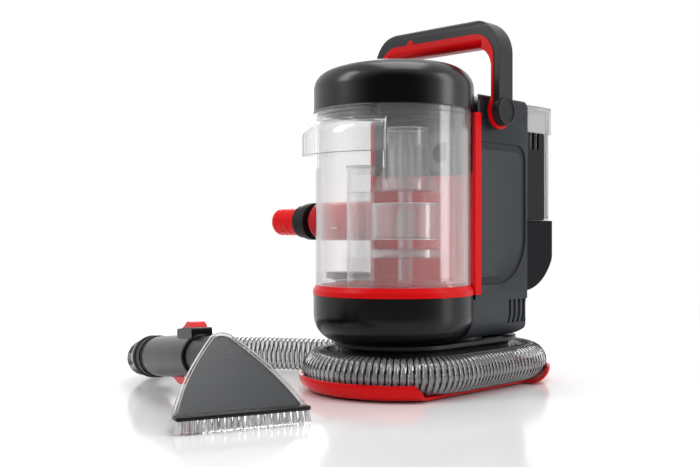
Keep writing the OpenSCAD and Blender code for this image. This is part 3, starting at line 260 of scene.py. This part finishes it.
WHITE = (0.95, 0.955, 0.96)
M = {
    "tray_red": plastic("tray_red", (0.68, 0.002, 0.004), 0.25, grain_amt=0.02, tone=0.03,
                        Specular_IOR_Level=0.14),
    "trim_red": plastic("trim_red", (0.68, 0.002, 0.004), 0.3, grain_amt=0.03, tone=0.03,
                        Specular_IOR_Level=0.12),
    "gloss_black": plastic("gloss_black", (0.0012, 0.0012, 0.0016), 0.22, 0.03, grain_amt=0.02,
                           Specular_IOR_Level=0.28),
    "lid_black": plastic("lid_black", (0.0015, 0.0015, 0.0019), 0.24, 0.03, grain_amt=0.03,
                         Specular_IOR_Level=0.42),
    "shell_grey": plastic("shell_grey", (0.024, 0.027, 0.032), 0.42, 0.05, 1400, 0.2,
                          wear=(0.09, 0.10, 0.11), dark=(None, 0.0865, 0.0885), Specular_IOR_Level=0.14),
    "shroud_black": plastic("shroud_black", (0.002, 0.002, 0.003), 0.4, 0.05, 1500, 0.15,
                            wear=(0.03, 0.03, 0.035), Specular_IOR_Level=0.03),
    "black_plastic": plastic("black_plastic", (0.004, 0.004, 0.005), 0.34, 0.05, 1500, 0.1,
                             wear=(0.03, 0.03, 0.035), Specular_IOR_Level=0.25),
    "handle_black": plastic("handle_black", (0.006, 0.006, 0.007), 0.3, 0.05, 1500, 0.08,
                            wear=(0.05, 0.05, 0.055), Specular_IOR_Level=0.2),
    "tool_grey": plastic("tool_grey", (0.075, 0.08, 0.088), 0.3, 0.04, 1500, 0.01,
                         dark=(FACE_NORMAL, 0.80, 0.93), Specular_IOR_Level=0.12),
    "grip_grey": plastic("grip_grey", (0.004, 0.0045, 0.006), 0.2, 0.04, 1500, 0.02,
                         Specular_IOR_Level=0.14),
    "soft_black": plastic("soft_black", (0.005, 0.005, 0.006), 0.5, 0.08, 900, 0.25,
                          Specular_IOR_Level=0.2),
    "foot_rubber": plastic("foot_rubber", (0.02, 0.02, 0.02), 0.75, 0.08, 700, 0.4),
    "pump_white": plastic("pump_white", (0.7, 0.7, 0.68), 0.4),
    "board_green": plastic("board_green", (0.03, 0.16, 0.07), 0.35),
    "bristle_white": plastic("bristle_white", (0.94, 0.94, 0.95), 0.35, grain=3000, tone=0.03,
                             soft_edges=False),
    "filter_dark": plastic("filter_dark", (0.02, 0.02, 0.022), 0.85, 0.05, 500, 0.7),
    "mark_white": plastic("mark_white", (0.85, 0.85, 0.86), 0.4, tone=0.02, soft_edges=False),
    "screw_steel": metal("screw_steel", (0.62, 0.62, 0.64), 0.3),
    "motor_metal": metal("motor_metal", (0.5, 0.5, 0.52), 0.35),
    "fan_alu": metal("fan_alu", (0.78, 0.79, 0.8), 0.28, (1, 30, 1)),
    "clear": clear("clear", WHITE, (0.10, 0.10, 0.11), 0.07, 0.75, 0.05, 2.5, shine=(0.045, 0.45),
                   lets_light=0.85),
    "clear_rear": clear("clear_rear", (0.24, 0.25, 0.27), (0.02, 0.02, 0.025), 0.26, 0.9, 0.05, 2.0,
                        shine=(0.1, 0.6)),
    "clear_tower": clear("clear_tower", WHITE, (0.75, 0.75, 0.77), 0.07, 0.9, 0.05, 2.5, start=0.5,
                         shine=(0.09, 0.45), lets_light=0.85),
    # the tool post: a darker, duller copy of the red plastic; painted shade
    "post_red_painted_shade": plastic("post_red_painted_shade", (0.42, 0.012, 0.018), 0.4, grain_amt=0.02, tone=0.03,
                        Specular_IOR_Level=0.1),
    # the tank's liner: a brighter, pinker copy of the red plastic; painted light standing in for the light
    # that reaches it through the clear tank
    "liner_red_painted_light": plastic("liner_red_painted_light", (0.88, 0.055, 0.068), 0.35, grain_amt=0.02, tone=0.03,
                         Specular_IOR_Level=0.12),
    "clear_cover": clear("clear_cover", (0.02, 0.02, 0.022), (0.02, 0.02, 0.022), 0.12, 0.9, 0.25, 1.3,
                         shine=(0.02, 0.2)),
    # white beads: painted highlights along the edges of the clear parts
    "rim_painted_highlight": clear("rim_painted_highlight", (0.95, 0.95, 0.96), (0.9, 0.9, 0.91), 0.9, 0.97, 0.1,
                       shine=(0.05, 0.1), soft_edges=False),
    # dark beads: painted shade lines along the edges of the clear parts
    "rim_painted_shade_line": clear("rim_painted_shade_line", (0.03, 0.03, 0.035), (0.02, 0.02, 0.025), 0.75, 0.95, 0.1,
                      shine=(0.0, 0.1), soft_edges=False),
    "clear_line": clear("clear_line", (0.7, 0.75, 0.8), (0.4, 0.42, 0.45), 0.3, 0.8, 0.1),
    "hose_clear": clear("hose_clear", (0.5, 0.505, 0.52), (0.05, 0.05, 0.06), 0.4, 0.75, 0.08, 1.6,
                        start=0.5, shine=(0.07, 0.4), soft_edges=False),
    "hose_rib": clear("hose_rib", (0.004, 0.004, 0.005), (0.004, 0.004, 0.005), 0.95, 0.98, 0.12, 1.3,
                      shine=(0.0, 0.1), soft_edges=False),
}

# which material each CAD node takes; the rest follow their record slot
USE = {
    "handle_frame": "handle_black", "tank_lid": "lid_black", "nozzle_body": "tool_grey",
    "rear_shroud": "shroud_black", "clean_tank": "clear_rear", "bay_liner": "liner_red_painted_light",
    "tool_post": "post_red_painted_shade", "tool_grip": "grip_grey", "pivot_caps": "handle_black",
    "separator_cage": "clear_tower", "standpipe": "clear_tower",
    "float_cup": "clear_tower", "inlet_pipe": "clear_tower", "nozzle_cover": "clear_cover",
    "water_line": "clear_line", "lid_filter": "filter_dark",
}
SLOT = {s["node"]: s["material_slot"] for s in frame["record"]["subparts"]}

for name, o in NODES.items():
    mat = USE.get(name, SLOT.get(name, "black_plastic"))
    if not o.material_slots:
        o.data.materials.append(M[mat])
    for s in o.material_slots:
        s.material = M[mat]


def new_mesh(name, verts, faces, mat, body):
    """A smooth mesh that rides on a body of the frame."""
    me = bpy.data.meshes.new(name)
    me.from_pydata([tuple(v) for v in verts], [], faces)
    me.update()
    me.polygons.foreach_set("use_smooth", [True] * len(me.polygons))
    me.materials.append(M[mat])
    o = bpy.data.objects.new(name, me)
    bpy.context.scene.collection.objects.link(o)
    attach(o, body)
    return o


# ---------------------------------------------------------------- hose
ROUTE = [
    (-80, 6, 23.2), (-80, -22, 23.2), (-80, -50, 23.2),
    (-74, -81, 23.2), (-57, -107, 23.2), (-31, -124, 23.2), (0, -130, 23.2),
    (31, -124, 23.2), (57, -107, 23.2), (74, -81, 23.2), (80, -50, 23.2),
    (80, -25, 23.2), (80, 0, 23.2), (80, 25, 23.2), (80, 50, 23.2),
    (74, 81, 23.2), (57, 107, 23.2), (31, 124, 23.2), (0, 130, 23.2),
    (-20, 130, 23.2), (-40, 130, 23.2), (-71, 124, 23.2), (-97, 107, 22.8),
    (-114, 81, 22), (-120, 50, 21), (-125, 24, 20), (-138, 1, 19.4),
    (-158, -16, 19.2), (-190, -34, 19.2), (-223, -53, 19.2),
    (-250, -75, 19.2), (-266, -106, 19.2), (-270, -141, 19.4),
    (-259, -173, 21), (-236, -200, 25), (-208, -216, 30.6), (-194.7, -220.4, 32),
]
HOSE_R = 19 * MM
RIB_PITCH, RIB_DEEP, RIB_SHARP = 5.6 * MM, 1.85 * MM, 1.5
GROOVE_R = HOSE_R - 1.9 * MM
RIB_FROM = 0.62                  # the wave is dark above this
STEPS_A_RIB, HOSE_AROUND, SPAN_STEPS = 8, 28, 24


def catmull(points, step):
    """A smooth curve through the points, sampled at even steps."""
    p = [Vector(q) * MM for q in points]
    p = [p[0] * 2 - p[1]] + p + [p[-1] * 2 - p[-2]]
    fine = []
    for i in range(1, len(p) - 2):
        a, b, c, d = p[i - 1:i + 3]
        for k in range(SPAN_STEPS):
            t = k / SPAN_STEPS
            fine.append(0.5 * (2 * b + (c - a) * t + (2 * a - 5 * b + 4 * c - d) * t * t
                               + (3 * b - a - 3 * c + d) * t ** 3))
    fine.append(p[-2])
    out, left = [fine[0]], step
    for a, b in zip(fine, fine[1:]):
        seg = (b - a).length
        at = left
        while at <= seg:
            out.append(a.lerp(b, at / seg))
            at += step
        left = at - seg
    out.append(fine[-1])
    return out


def hose():
    """A helix of ribs along the route. Its crests take the dark material."""
    per, around = STEPS_A_RIB, HOSE_AROUND
    path = catmull(ROUTE, RIB_PITCH / per)
    verts, faces, ribs = [], [], []
    up = Vector((0, 0, 1))
    for i, c in enumerate(path):
        d = (path[min(i + 1, len(path) - 1)] - path[max(i - 1, 0)]).normalized()
        side = d.cross(up).normalized()
        u = side.cross(d)
        for k in range(around):
            ang = 2 * math.pi * k / around
            wave = math.cos(2 * math.pi * (i / per) - ang)
            r = GROOVE_R + RIB_DEEP * (0.5 + 0.5 * wave) ** RIB_SHARP
            verts.append(c + r * (math.cos(ang) * side + math.sin(ang) * u))
    for i in range(len(path) - 1):
        for k in range(around):
            a, b = i * around + k, i * around + (k + 1) % around
            faces.append((a, b, b + around, a + around))
            ang = 2 * math.pi * (k + 0.5) / around
            wave = math.cos(2 * math.pi * ((i + 0.5) / per) - ang)
            ribs.append(1 if wave > RIB_FROM else 0)
    o = new_mesh("hose_ribbed", verts, faces, "hose_clear", "machine")
    o.data.materials.append(M["hose_rib"])
    for p, r in zip(o.data.polygons, ribs):
        p.material_index = r
    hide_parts("suction_hose")


hose()


# ---------------------------------------------------------------- bristles
# in the spray tool's own frame, millimetres
TUFTS, TUFT_HALF, TUFT_R, FILAMENTS = 20, 56, 1.9, 36
TUFT_Y, TUFT_ROWS_APART = -4.6, 6
BRISTLE_TOP, BRISTLE_LOW, BRISTLE_THICK, BRISTLE_THIN = 11.2, 0.4, 0.19, 0.15
SPLAY, END_LEAN, LEAN_Y = 0.6, 2.2, -0.5
STRAY_X, STRAY_Y, STRAY_Z = 0.35, 0.4, 0.7    # how far a tip strays


def bristles():
    """Tufts of thin filaments that splay a little, most at the two ends."""
    verts, faces = [], []
    half = TUFT_HALF
    for row in (0, 1):
        for k in range(TUFTS - row):
            x0 = -half + (k + row / 2) * 2 * half / (TUFTS - 1)
            y0 = TUFT_Y + row * TUFT_ROWS_APART
            for _ in range(FILAMENTS):
                a, q = random.uniform(0, 2 * math.pi), math.sqrt(random.random())
                bx, by = x0 + TUFT_R * q * math.cos(a), y0 + TUFT_R * q * math.sin(a)
                lean = END_LEAN * (x0 / half) ** 3
                tx = bx + (bx - x0) * SPLAY + lean + random.uniform(-STRAY_X, STRAY_X)
                ty = by + (by - y0) * SPLAY + LEAN_Y + random.uniform(-STRAY_Y, STRAY_Y)
                tz = BRISTLE_LOW + random.uniform(0, STRAY_Z)
                base = len(verts)
                for x, y, z, r in ((bx, by, BRISTLE_TOP, BRISTLE_THICK), (tx, ty, tz, BRISTLE_THIN)):
                    for m in range(4):
                        t = m * math.pi / 2
                        verts.append(TOOL @ mm(x + r * math.cos(t), y + r * math.sin(t), z))
                for m in range(4):
                    a1, b1 = base + m, base + (m + 1) % 4
                    faces.append((a1, b1, b1 + 4, a1 + 4))
                faces.append((base + 7, base + 6, base + 5, base + 4))
    o = new_mesh("bristle_tufts", verts, faces, "bristle_white", "nozzle")
    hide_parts("bristles")


bristles()


# ---------------------------------------------------------------- brush bar
STRIP_HALF, STRIP_Y, STRIP_Z = 59.9, (-7.9, 5.3), (11.0, 14.4)
STRIP_CORNER, STRIP_EDGE = 3.0, 0.6


def brush_strip():
    """The thin bar that carries the bristles."""
    x1, r, (y0, y1), (z0, z1) = STRIP_HALF, STRIP_CORNER, STRIP_Y, STRIP_Z
    corners = ((x1 - r, y1 - r, 0), (-x1 + r, y1 - r, 90),
               (-x1 + r, y0 + r, 180), (x1 - r, y0 + r, 270))
    outline = []
    for cx, cy, a0 in corners:
        for i in range(7):
            t = math.radians(a0 + 15 * i)
            outline.append((cx, cy, math.cos(t), math.sin(t)))
    verts, faces, n = [], [], len(outline)
    e = STRIP_EDGE
    for z, rr in ((z0, r - e), (z0 + e, r), (z1 - e, r), (z1, r - e)):
        verts += [TOOL @ mm(cx + rr * c, cy + rr * s, z) for cx, cy, c, s in outline]
    for lap in range(3):
        for k in range(n):
            a, b = lap * n + k, lap * n + (k + 1) % n
            faces.append((a, b, b + n, a + n))
    faces += [tuple(reversed(range(n))), tuple(range(3 * n, 4 * n))]
    o = new_mesh("brush_strip", verts, faces, "gloss_black", "nozzle")
    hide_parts("brush_bar")


brush_strip()


# ---------------------------------------------------------------- peg
PEG_X, PEG_R, PEG_LEN, PEG_Y, PEG_Z = -210.0, 17.0, 43.0, 14.0, 176.5
NECK_R, NECK_DEEP, PEG_ROUND, PEG_EDGE = 14.2, 3.1, 9.0, 0.6
CENTRE_R = 0.3                   # radius of the small flat that closes each end
LINES_AT, LINES_FROM, LINE_EVERY = (11.0, 21.5, 32.0), 1.5, 18
LINE_HALF, LINE_DEEP = 0.45, 0.5
PEG_STEP, PEG_AROUND = 0.4, 144


def peg():
    """The post's end cap: smooth, round ended, with a fine sunk grid."""
    profile = [(NECK_DEEP, CENTRE_R), (NECK_DEEP, NECK_R), (0, NECK_R), (0, PEG_R - PEG_EDGE),
               (PEG_EDGE, PEG_R)]
    steps = int((PEG_LEN - PEG_ROUND - PEG_EDGE) / PEG_STEP)
    profile += [(PEG_EDGE + PEG_STEP * i, PEG_R) for i in range(1, steps + 1)]
    for i in range(1, 25):
        t = math.radians(90 * i / 24)
        profile.append((PEG_LEN - PEG_ROUND + PEG_ROUND * math.sin(t),
                        max(CENTRE_R, PEG_R - PEG_ROUND + PEG_ROUND * math.cos(t))))
    profile.append((PEG_LEN, CENTRE_R))
    around = PEG_AROUND
    verts, faces = [], []
    for x, r in profile:
        ring_line = min(abs(x - c) for c in LINES_AT) < LINE_HALF
        for k in range(around):
            a = 2 * math.pi * k / around
            line = r > PEG_R - PEG_ROUND and x > LINES_FROM and (ring_line or k % LINE_EVERY == 0)
            rr = r - (LINE_DEEP if line else 0)
            verts.append(mm(PEG_X - x, PEG_Y + rr * math.cos(a), PEG_Z + rr * math.sin(a)))
    n = len(profile)
    for i in range(n - 1):
        for k in range(around):
            a, b = i * around + k, i * around + (k + 1) % around
            faces.append((a, a + around, b + around, b))
    faces.append(tuple(range(around)))
    faces.append(tuple(reversed(range((n - 1) * around, n * around))))
    o = new_mesh("peg_cap", verts, faces, "trim_red", "machine")
    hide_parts("post_peg")


peg()


# ---------------------------------------------------------------- nozzle cover's painted edge highlights
MOUTH_W, FACE_LEN, APEX_R, BOW = 122, 82, 15, 5
FOOT_LEFT_OUT = 1                # the beads leave out this much at the flanks' foot


def fan_outline(inset):
    """The face's outline from the foot of one flank over the apex to the
    foot of the other, as in the part's source."""
    top, w, n = FACE_LEN - APEX_R, MOUTH_W / 2, 14
    lean = math.atan2(w - APEX_R, top)
    rise, foot = top + APEX_R * math.sin(lean), w - APEX_R * math.cos(lean)
    flank = []
    for k in range(n):
        t = k / n
        x = w - foot * t + BOW * math.sin(math.pi * t) - inset / math.cos(lean)
        flank.append((x, rise * t))
    arc = []
    for k in range(n + 1):
        a = lean + (math.pi - 2 * lean) * k / n
        arc.append(((APEX_R - inset) * math.cos(a), top + (APEX_R - inset) * math.sin(a)))
    return flank + arc + [(-x, y) for x, y in reversed(flank)]


def tube(name, points, r, mat, body, around=8):
    """A thin round bead along the points."""
    verts, faces = [], []
    for i, c in enumerate(points):
        d = (points[min(i + 1, len(points) - 1)] - points[max(i - 1, 0)]).normalized()
        side = d.orthogonal().normalized() if i == 0 else (side - side.dot(d) * d).normalized()
        u = side.cross(d)
        for k in range(around):
            a = 2 * math.pi * k / around
            verts.append(c + r * (math.cos(a) * side + math.sin(a) * u))
    for i in range(len(points) - 1):
        for k in range(around):
            a, b = i * around + k, i * around + (k + 1) % around
            faces.append((a, b, b + around, a + around))
    faces.append(tuple(reversed(range(around))))
    faces.append(tuple(range(len(verts) - around, len(verts))))
    o = new_mesh(name, verts, faces, mat, body)


def cover_painted_highlights():
    """White beads along the cover's face that paint its edge highlights: name, inset, depth, bead radius."""
    for name, inset, depth, r in (("cover_rim_front", 0.7, -0.6, 0.6), ("cover_rim_inner", 3.0, -1.7, 0.3),
                                  ("cover_rim_back", 0.5, -14.5, 0.4)):
        pts = [FACE @ mm(x, y, depth) for x, y in fan_outline(inset) if y > FOOT_LEFT_OUT]
        tube(name, pts, r * MM, "rim_painted_highlight", "nozzle")


cover_painted_highlights()


# ---------------------------------------------------------------- painted edge lines of the clear parts: white beads paint highlights, dark beads paint shade lines
TANK_Y, TOWER_Y = -56.5, -36.5
PIPE_X, PIPE_Y = -50, TANK_Y + 4
HOOD_R, HOOD_HALF, HOOD_TOP, HOOD_LOW, HOOD_ROUND = 95.0, 37.0, 275.0, 240.0, 16.0


def arc(cx, cy, r, z, a0=0.0, a1=360.0, n=72):
    """Points on a level arc; angles are from the front, -Y, towards +X."""
    out = []
    for i in range(n + 1):
        a = math.radians(a0 + (a1 - a0) * i / n)
        out.append(mm(cx + r * math.sin(a), cy - r * math.cos(a), z))
    return out


def hood_end(azimuth, inset=0.0):
    """Up the outer edge of one of the hood's end walls."""
    round_r = HOOD_ROUND
    pts = [(HOOD_R - inset, z) for z in (HOOD_LOW + 0.4, HOOD_LOW + 10, HOOD_TOP - round_r)]
    for i in range(1, 13):
        t = math.radians(90 * i / 12)
        pts.append((HOOD_R - round_r + (round_r - inset) * math.cos(t),
                    HOOD_TOP - round_r + (round_r - inset) * math.sin(t)))
    a = math.radians(azimuth)
    return [mm(r * math.sin(a), TANK_Y - r * math.cos(a), z) for r, z in pts]


# clean tank: corner radius, far side, and half the width of its shoulder
CLEAN_R, CLEAN_FAR, SHOULDER_HALF = 10.0, 142.5, 69.5
CLEAN_LOW, CLEAN_TOP = 176.3, 302.8


def clean_rim(z, inset):
    """Round the clean tank's shoulder, from the right over the far side to the left."""
    half, r = SHOULDER_HALF - inset, CLEAN_R - inset
    pts = [(half, 92.0)]
    for i in range(9):
        t = math.radians(90 * i / 8)
        pts.append((half - r + r * math.cos(t), CLEAN_FAR - inset - r + r * math.sin(t)))
    return [mm(x, y, z) for x, y in pts] + [mm(-x, y, z) for x, y in reversed(pts)]


def upright(x, y):
    """An upright line near one of the clean tank's rear corners."""
    return [mm(x, y, CLEAN_LOW + 2), mm(x, y, 235), mm(x, y, CLEAN_TOP - 6)]


def painted_edge_lines():
    """Thin beads on the edges of the clear parts, white ones painting highlights and dark
    ones painting shade lines: name, body, material, bead radius, points."""
    hood = (-HOOD_HALF + 1, HOOD_HALF - 1)
    rows = [
        ("hood_lip", "waste_tank", "rim_painted_shade_line", 0.35, arc(0, TANK_Y, HOOD_R - 0.4, HOOD_LOW + 0.4, *hood)),
        ("hood_lip_in", "waste_tank", "rim_painted_highlight", 0.3, arc(0, TANK_Y, HOOD_R - 1.9, HOOD_LOW + 0.5, *hood)),
        ("cup_top", "float", "rim_painted_highlight", 0.5, arc(0, TOWER_Y, 36.0, 192.5)),
        ("cup_low", "float", "rim_painted_highlight", 0.45, arc(0, TOWER_Y, 36.0, 155.5)),
        ("cup_low_line", "float", "rim_painted_shade_line", 0.25, arc(0, TOWER_Y, 36.2, 157.2)),
        ("collar_top", "waste_tank", "rim_painted_shade_line", 0.25, arc(0, TOWER_Y, 36.2, 144.7)),
        ("collar_low", "waste_tank", "rim_painted_shade_line", 0.25, arc(0, TOWER_Y, 36.2, 136.3)),
        ("cage_top", "waste_tank", "rim_painted_highlight", 0.5, arc(0, TOWER_Y, 23.4, 271.5)),
        ("cage_low", "waste_tank", "rim_painted_shade_line", 0.3, arc(0, TOWER_Y, 23.6, 206.4)),
        ("pipe_disc", "waste_tank", "rim_painted_shade_line", 0.3, arc(PIPE_X, PIPE_Y, 16.2, 233.8, n=40)),
        ("pipe_window", "waste_tank", "rim_painted_shade_line", 0.25, arc(PIPE_X, PIPE_Y, 14.8, 206.2, 200, 340, 24)),
    ]
    for side, x in (("right", 1), ("left", -1)):
        end = HOOD_HALF * x
        rows += [
            ("hood_end_%s" % side, "waste_tank", "rim_painted_highlight", 0.75, hood_end(end - 0.6 * x, 0.9)),
            ("hood_edge_%s" % side, "waste_tank", "rim_painted_shade_line", 0.3, hood_end(end - 0.1 * x, 0.2)),
            ("hood_line_%s" % side, "waste_tank", "rim_painted_shade_line", 0.3, hood_end(end - 1.8 * x, 0.4)),
            ("clean_edge_%s" % side, "water_tank", "rim_painted_shade_line", 0.4, upright(62.9 * x, 139.1)),
            ("clean_band_%s" % side, "water_tank", "rim_painted_highlight", 0.9, upright(65.0 * x, 133.4)),
            ("clean_line_%s" % side, "water_tank", "rim_painted_shade_line", 0.4, upright(65.8 * x, 129.3)),
        ]
    rows += [
        ("clean_top_edge", "water_tank", "rim_painted_shade_line", 0.4, clean_rim(CLEAN_TOP - 0.6, 0.5)),
        ("clean_top_band", "water_tank", "rim_painted_highlight", 0.6, clean_rim(CLEAN_TOP - 3.0, 1.0)),
    ]
    for name, body, mat, r, pts in rows:
        tube(name, pts, r * MM, mat, body, 6)


painted_edge_lines()


# ---------------------------------------------------------------- fill mark
MARK_R, MARK_FROM, MARK_SPAN, MARK_Z = 80.6, -8.5, 6, (166.6, 167.2)


def fill_mark():
    """A short printed line on the front of the waste tank."""
    verts, faces, n = [], [], 8
    for i in range(n + 1):
        a = math.radians(MARK_FROM + MARK_SPAN * i / n)
        for z in MARK_Z:
            verts.append(mm(MARK_R * math.sin(a), TANK_Y - MARK_R * math.cos(a), z))
    for i in range(n):
        faces.append((2 * i, 2 * i + 2, 2 * i + 3, 2 * i + 1))
    o = new_mesh("fill_mark", verts, faces, "mark_white", "waste_tank")


fill_mark()


# ---------------------------------------------------------------- floor
SEEN = ["Is Camera Ray", "Is Glossy Ray", "Is Transmission Ray"]
FLOOR_HALF, FLOOR_DROP = 6, 0.0004
FLOOR_COLOR, FLOOR_ROUGH = (0.95, 0.95, 0.955, 1), 0.14
FADE = (0.6, 1.6)                # the floor turns white between these distances

# the dark side of the studio, where the camera is, and how bright it is to gloss
DARK_SIDE, DARK_LEVEL = (0.69, -0.72, 0.0), 0.06
DARK_SKY, DARK_FLOOR = (0.35, 0.85), (0.5, 1.0)


def any_of(tree, rays):
    """A factor that is 1 for any of these kinds of ray."""
    path = new_node(tree, "ShaderNodeLightPath")
    out = path.outputs[rays[0]]
    for ray in rays[1:]:
        out = combine(tree, "MAXIMUM", out, path.outputs[ray])
    return out


def dark_side(tree, coordinate, bounds, values, kind="LINEAR"):
    """Maps how far a place or a direction lies to the dark side."""
    dot = new_node(tree, "ShaderNodeVectorMath", operation="DOT_PRODUCT")
    dot.inputs[1].default_value = DARK_SIDE
    tree.links.new(new_node(tree, "ShaderNodeTexCoord").outputs[coordinate], dot.inputs[0])
    return map_range(tree, dot.outputs["Value"], bounds, values, kind)


def floor():
    """A pale floor that fades into the white background with distance."""
    me = bpy.data.meshes.new("floor")
    h = FLOOR_HALF
    me.from_pydata([(-h, -h, 0), (h, -h, 0), (h, h, 0), (-h, h, 0)], [], [(0, 1, 2, 3)])
    o = bpy.data.objects.new("floor", me)
    bpy.context.scene.collection.objects.link(o)
    m = bpy.data.materials.new("floor")
    m.use_nodes = True
    t = m.node_tree
    plain = t.nodes["Principled BSDF"]
    plain.inputs["Base Color"].default_value = FLOOR_COLOR
    plain.inputs["Roughness"].default_value = FLOOR_ROUGH

    # the white that it fades into is dimmer to gloss on the dark side
    white = new_node(t, "ShaderNodeEmission")
    dim = dark_side(t, "Object", DARK_FLOOR, (0.0, 1 - DARK_LEVEL))
    cut = combine(t, "MULTIPLY", dim, any_of(t, ["Is Glossy Ray"]))
    t.links.new(combine(t, "SUBTRACT", 1.0, cut), white.inputs["Strength"])

    away = new_node(t, "ShaderNodeVectorMath", operation="LENGTH")
    t.links.new(new_node(t, "ShaderNodeTexCoord").outputs["Object"], away.inputs[0])
    far = map_range(t, away.outputs["Value"], FADE, (0.0, 1.0), "SMOOTHSTEP")
    share = combine(t, "MULTIPLY", far, any_of(t, SEEN))
    out = mix_shaders(t, plain.outputs["BSDF"], white.outputs["Emission"], share)
    t.links.new(out, t.nodes["Material Output"].inputs["Surface"])
    me.materials.append(m)
    o.location.z = -FLOOR_DROP


floor()


# ---------------------------------------------------------------- lamps
LAMPS_AIM = (0, -0.03, 0.18)
# name, place, width and height in metres, watts
LAMPS = [
    ("key", (-0.9, -1.5, 1.3), (0.5, 1.3), 15),
    ("right", (1.35, 0.75, 0.7), (0.5, 1.4), 9),
    ("top", (0.1, 0.1, 1.9), (1.4, 1.0), 16),
    ("rim", (-1.3, 0.9, 0.9), (0.5, 1.2), 8),
]


def lamp(name, place, size, watts):
    """A white rectangular lamp that looks at the machine."""
    d = bpy.data.lights.new(name, "AREA")
    d.shape = "RECTANGLE"
    d.size, d.size_y = size
    d.energy = watts
    o = bpy.data.objects.new(name, d)
    bpy.context.scene.collection.objects.link(o)
    o.location = place
    o.rotation_euler = (Vector(LAMPS_AIM) - Vector(place)).to_track_quat("-Z", "Y").to_euler()


for row in LAMPS:
    lamp(*row)


# ---------------------------------------------------------------- background
FILL_LEVEL = 0.5                 # how bright the background is as a light


def background():
    """White all round. Only gloss also meets the dark side of the studio."""
    world = bpy.data.worlds.new("world")
    bpy.context.scene.world = world
    world.use_nodes = True
    t = world.node_tree
    fill = t.nodes["Background"]
    seen = new_node(t, "ShaderNodeBackground")
    gloss = new_node(t, "ShaderNodeBackground")
    for b in (fill, seen, gloss):
        b.inputs["Color"].default_value = (1, 1, 1, 1)
    fill.inputs["Strength"].default_value = FILL_LEVEL
    seen.inputs["Strength"].default_value = 1.0
    level = dark_side(t, "Generated", DARK_SKY, (1.0, DARK_LEVEL), "SMOOTHSTEP")
    t.links.new(level, gloss.inputs["Strength"])
    out = mix_shaders(t, fill.outputs["Background"], seen.outputs["Background"],
                      any_of(t, ["Is Camera Ray", "Is Transmission Ray"]))
    out = mix_shaders(t, out, gloss.outputs["Background"], any_of(t, ["Is Glossy Ray"]))
    t.links.new(out, t.nodes["World Output"].inputs["Surface"])


background()

# a ray through the tank and its tower meets many clear walls
bpy.context.scene.cycles.transparent_max_bounces = 40
bpy.context.scene.view_settings.view_transform = "Standard"
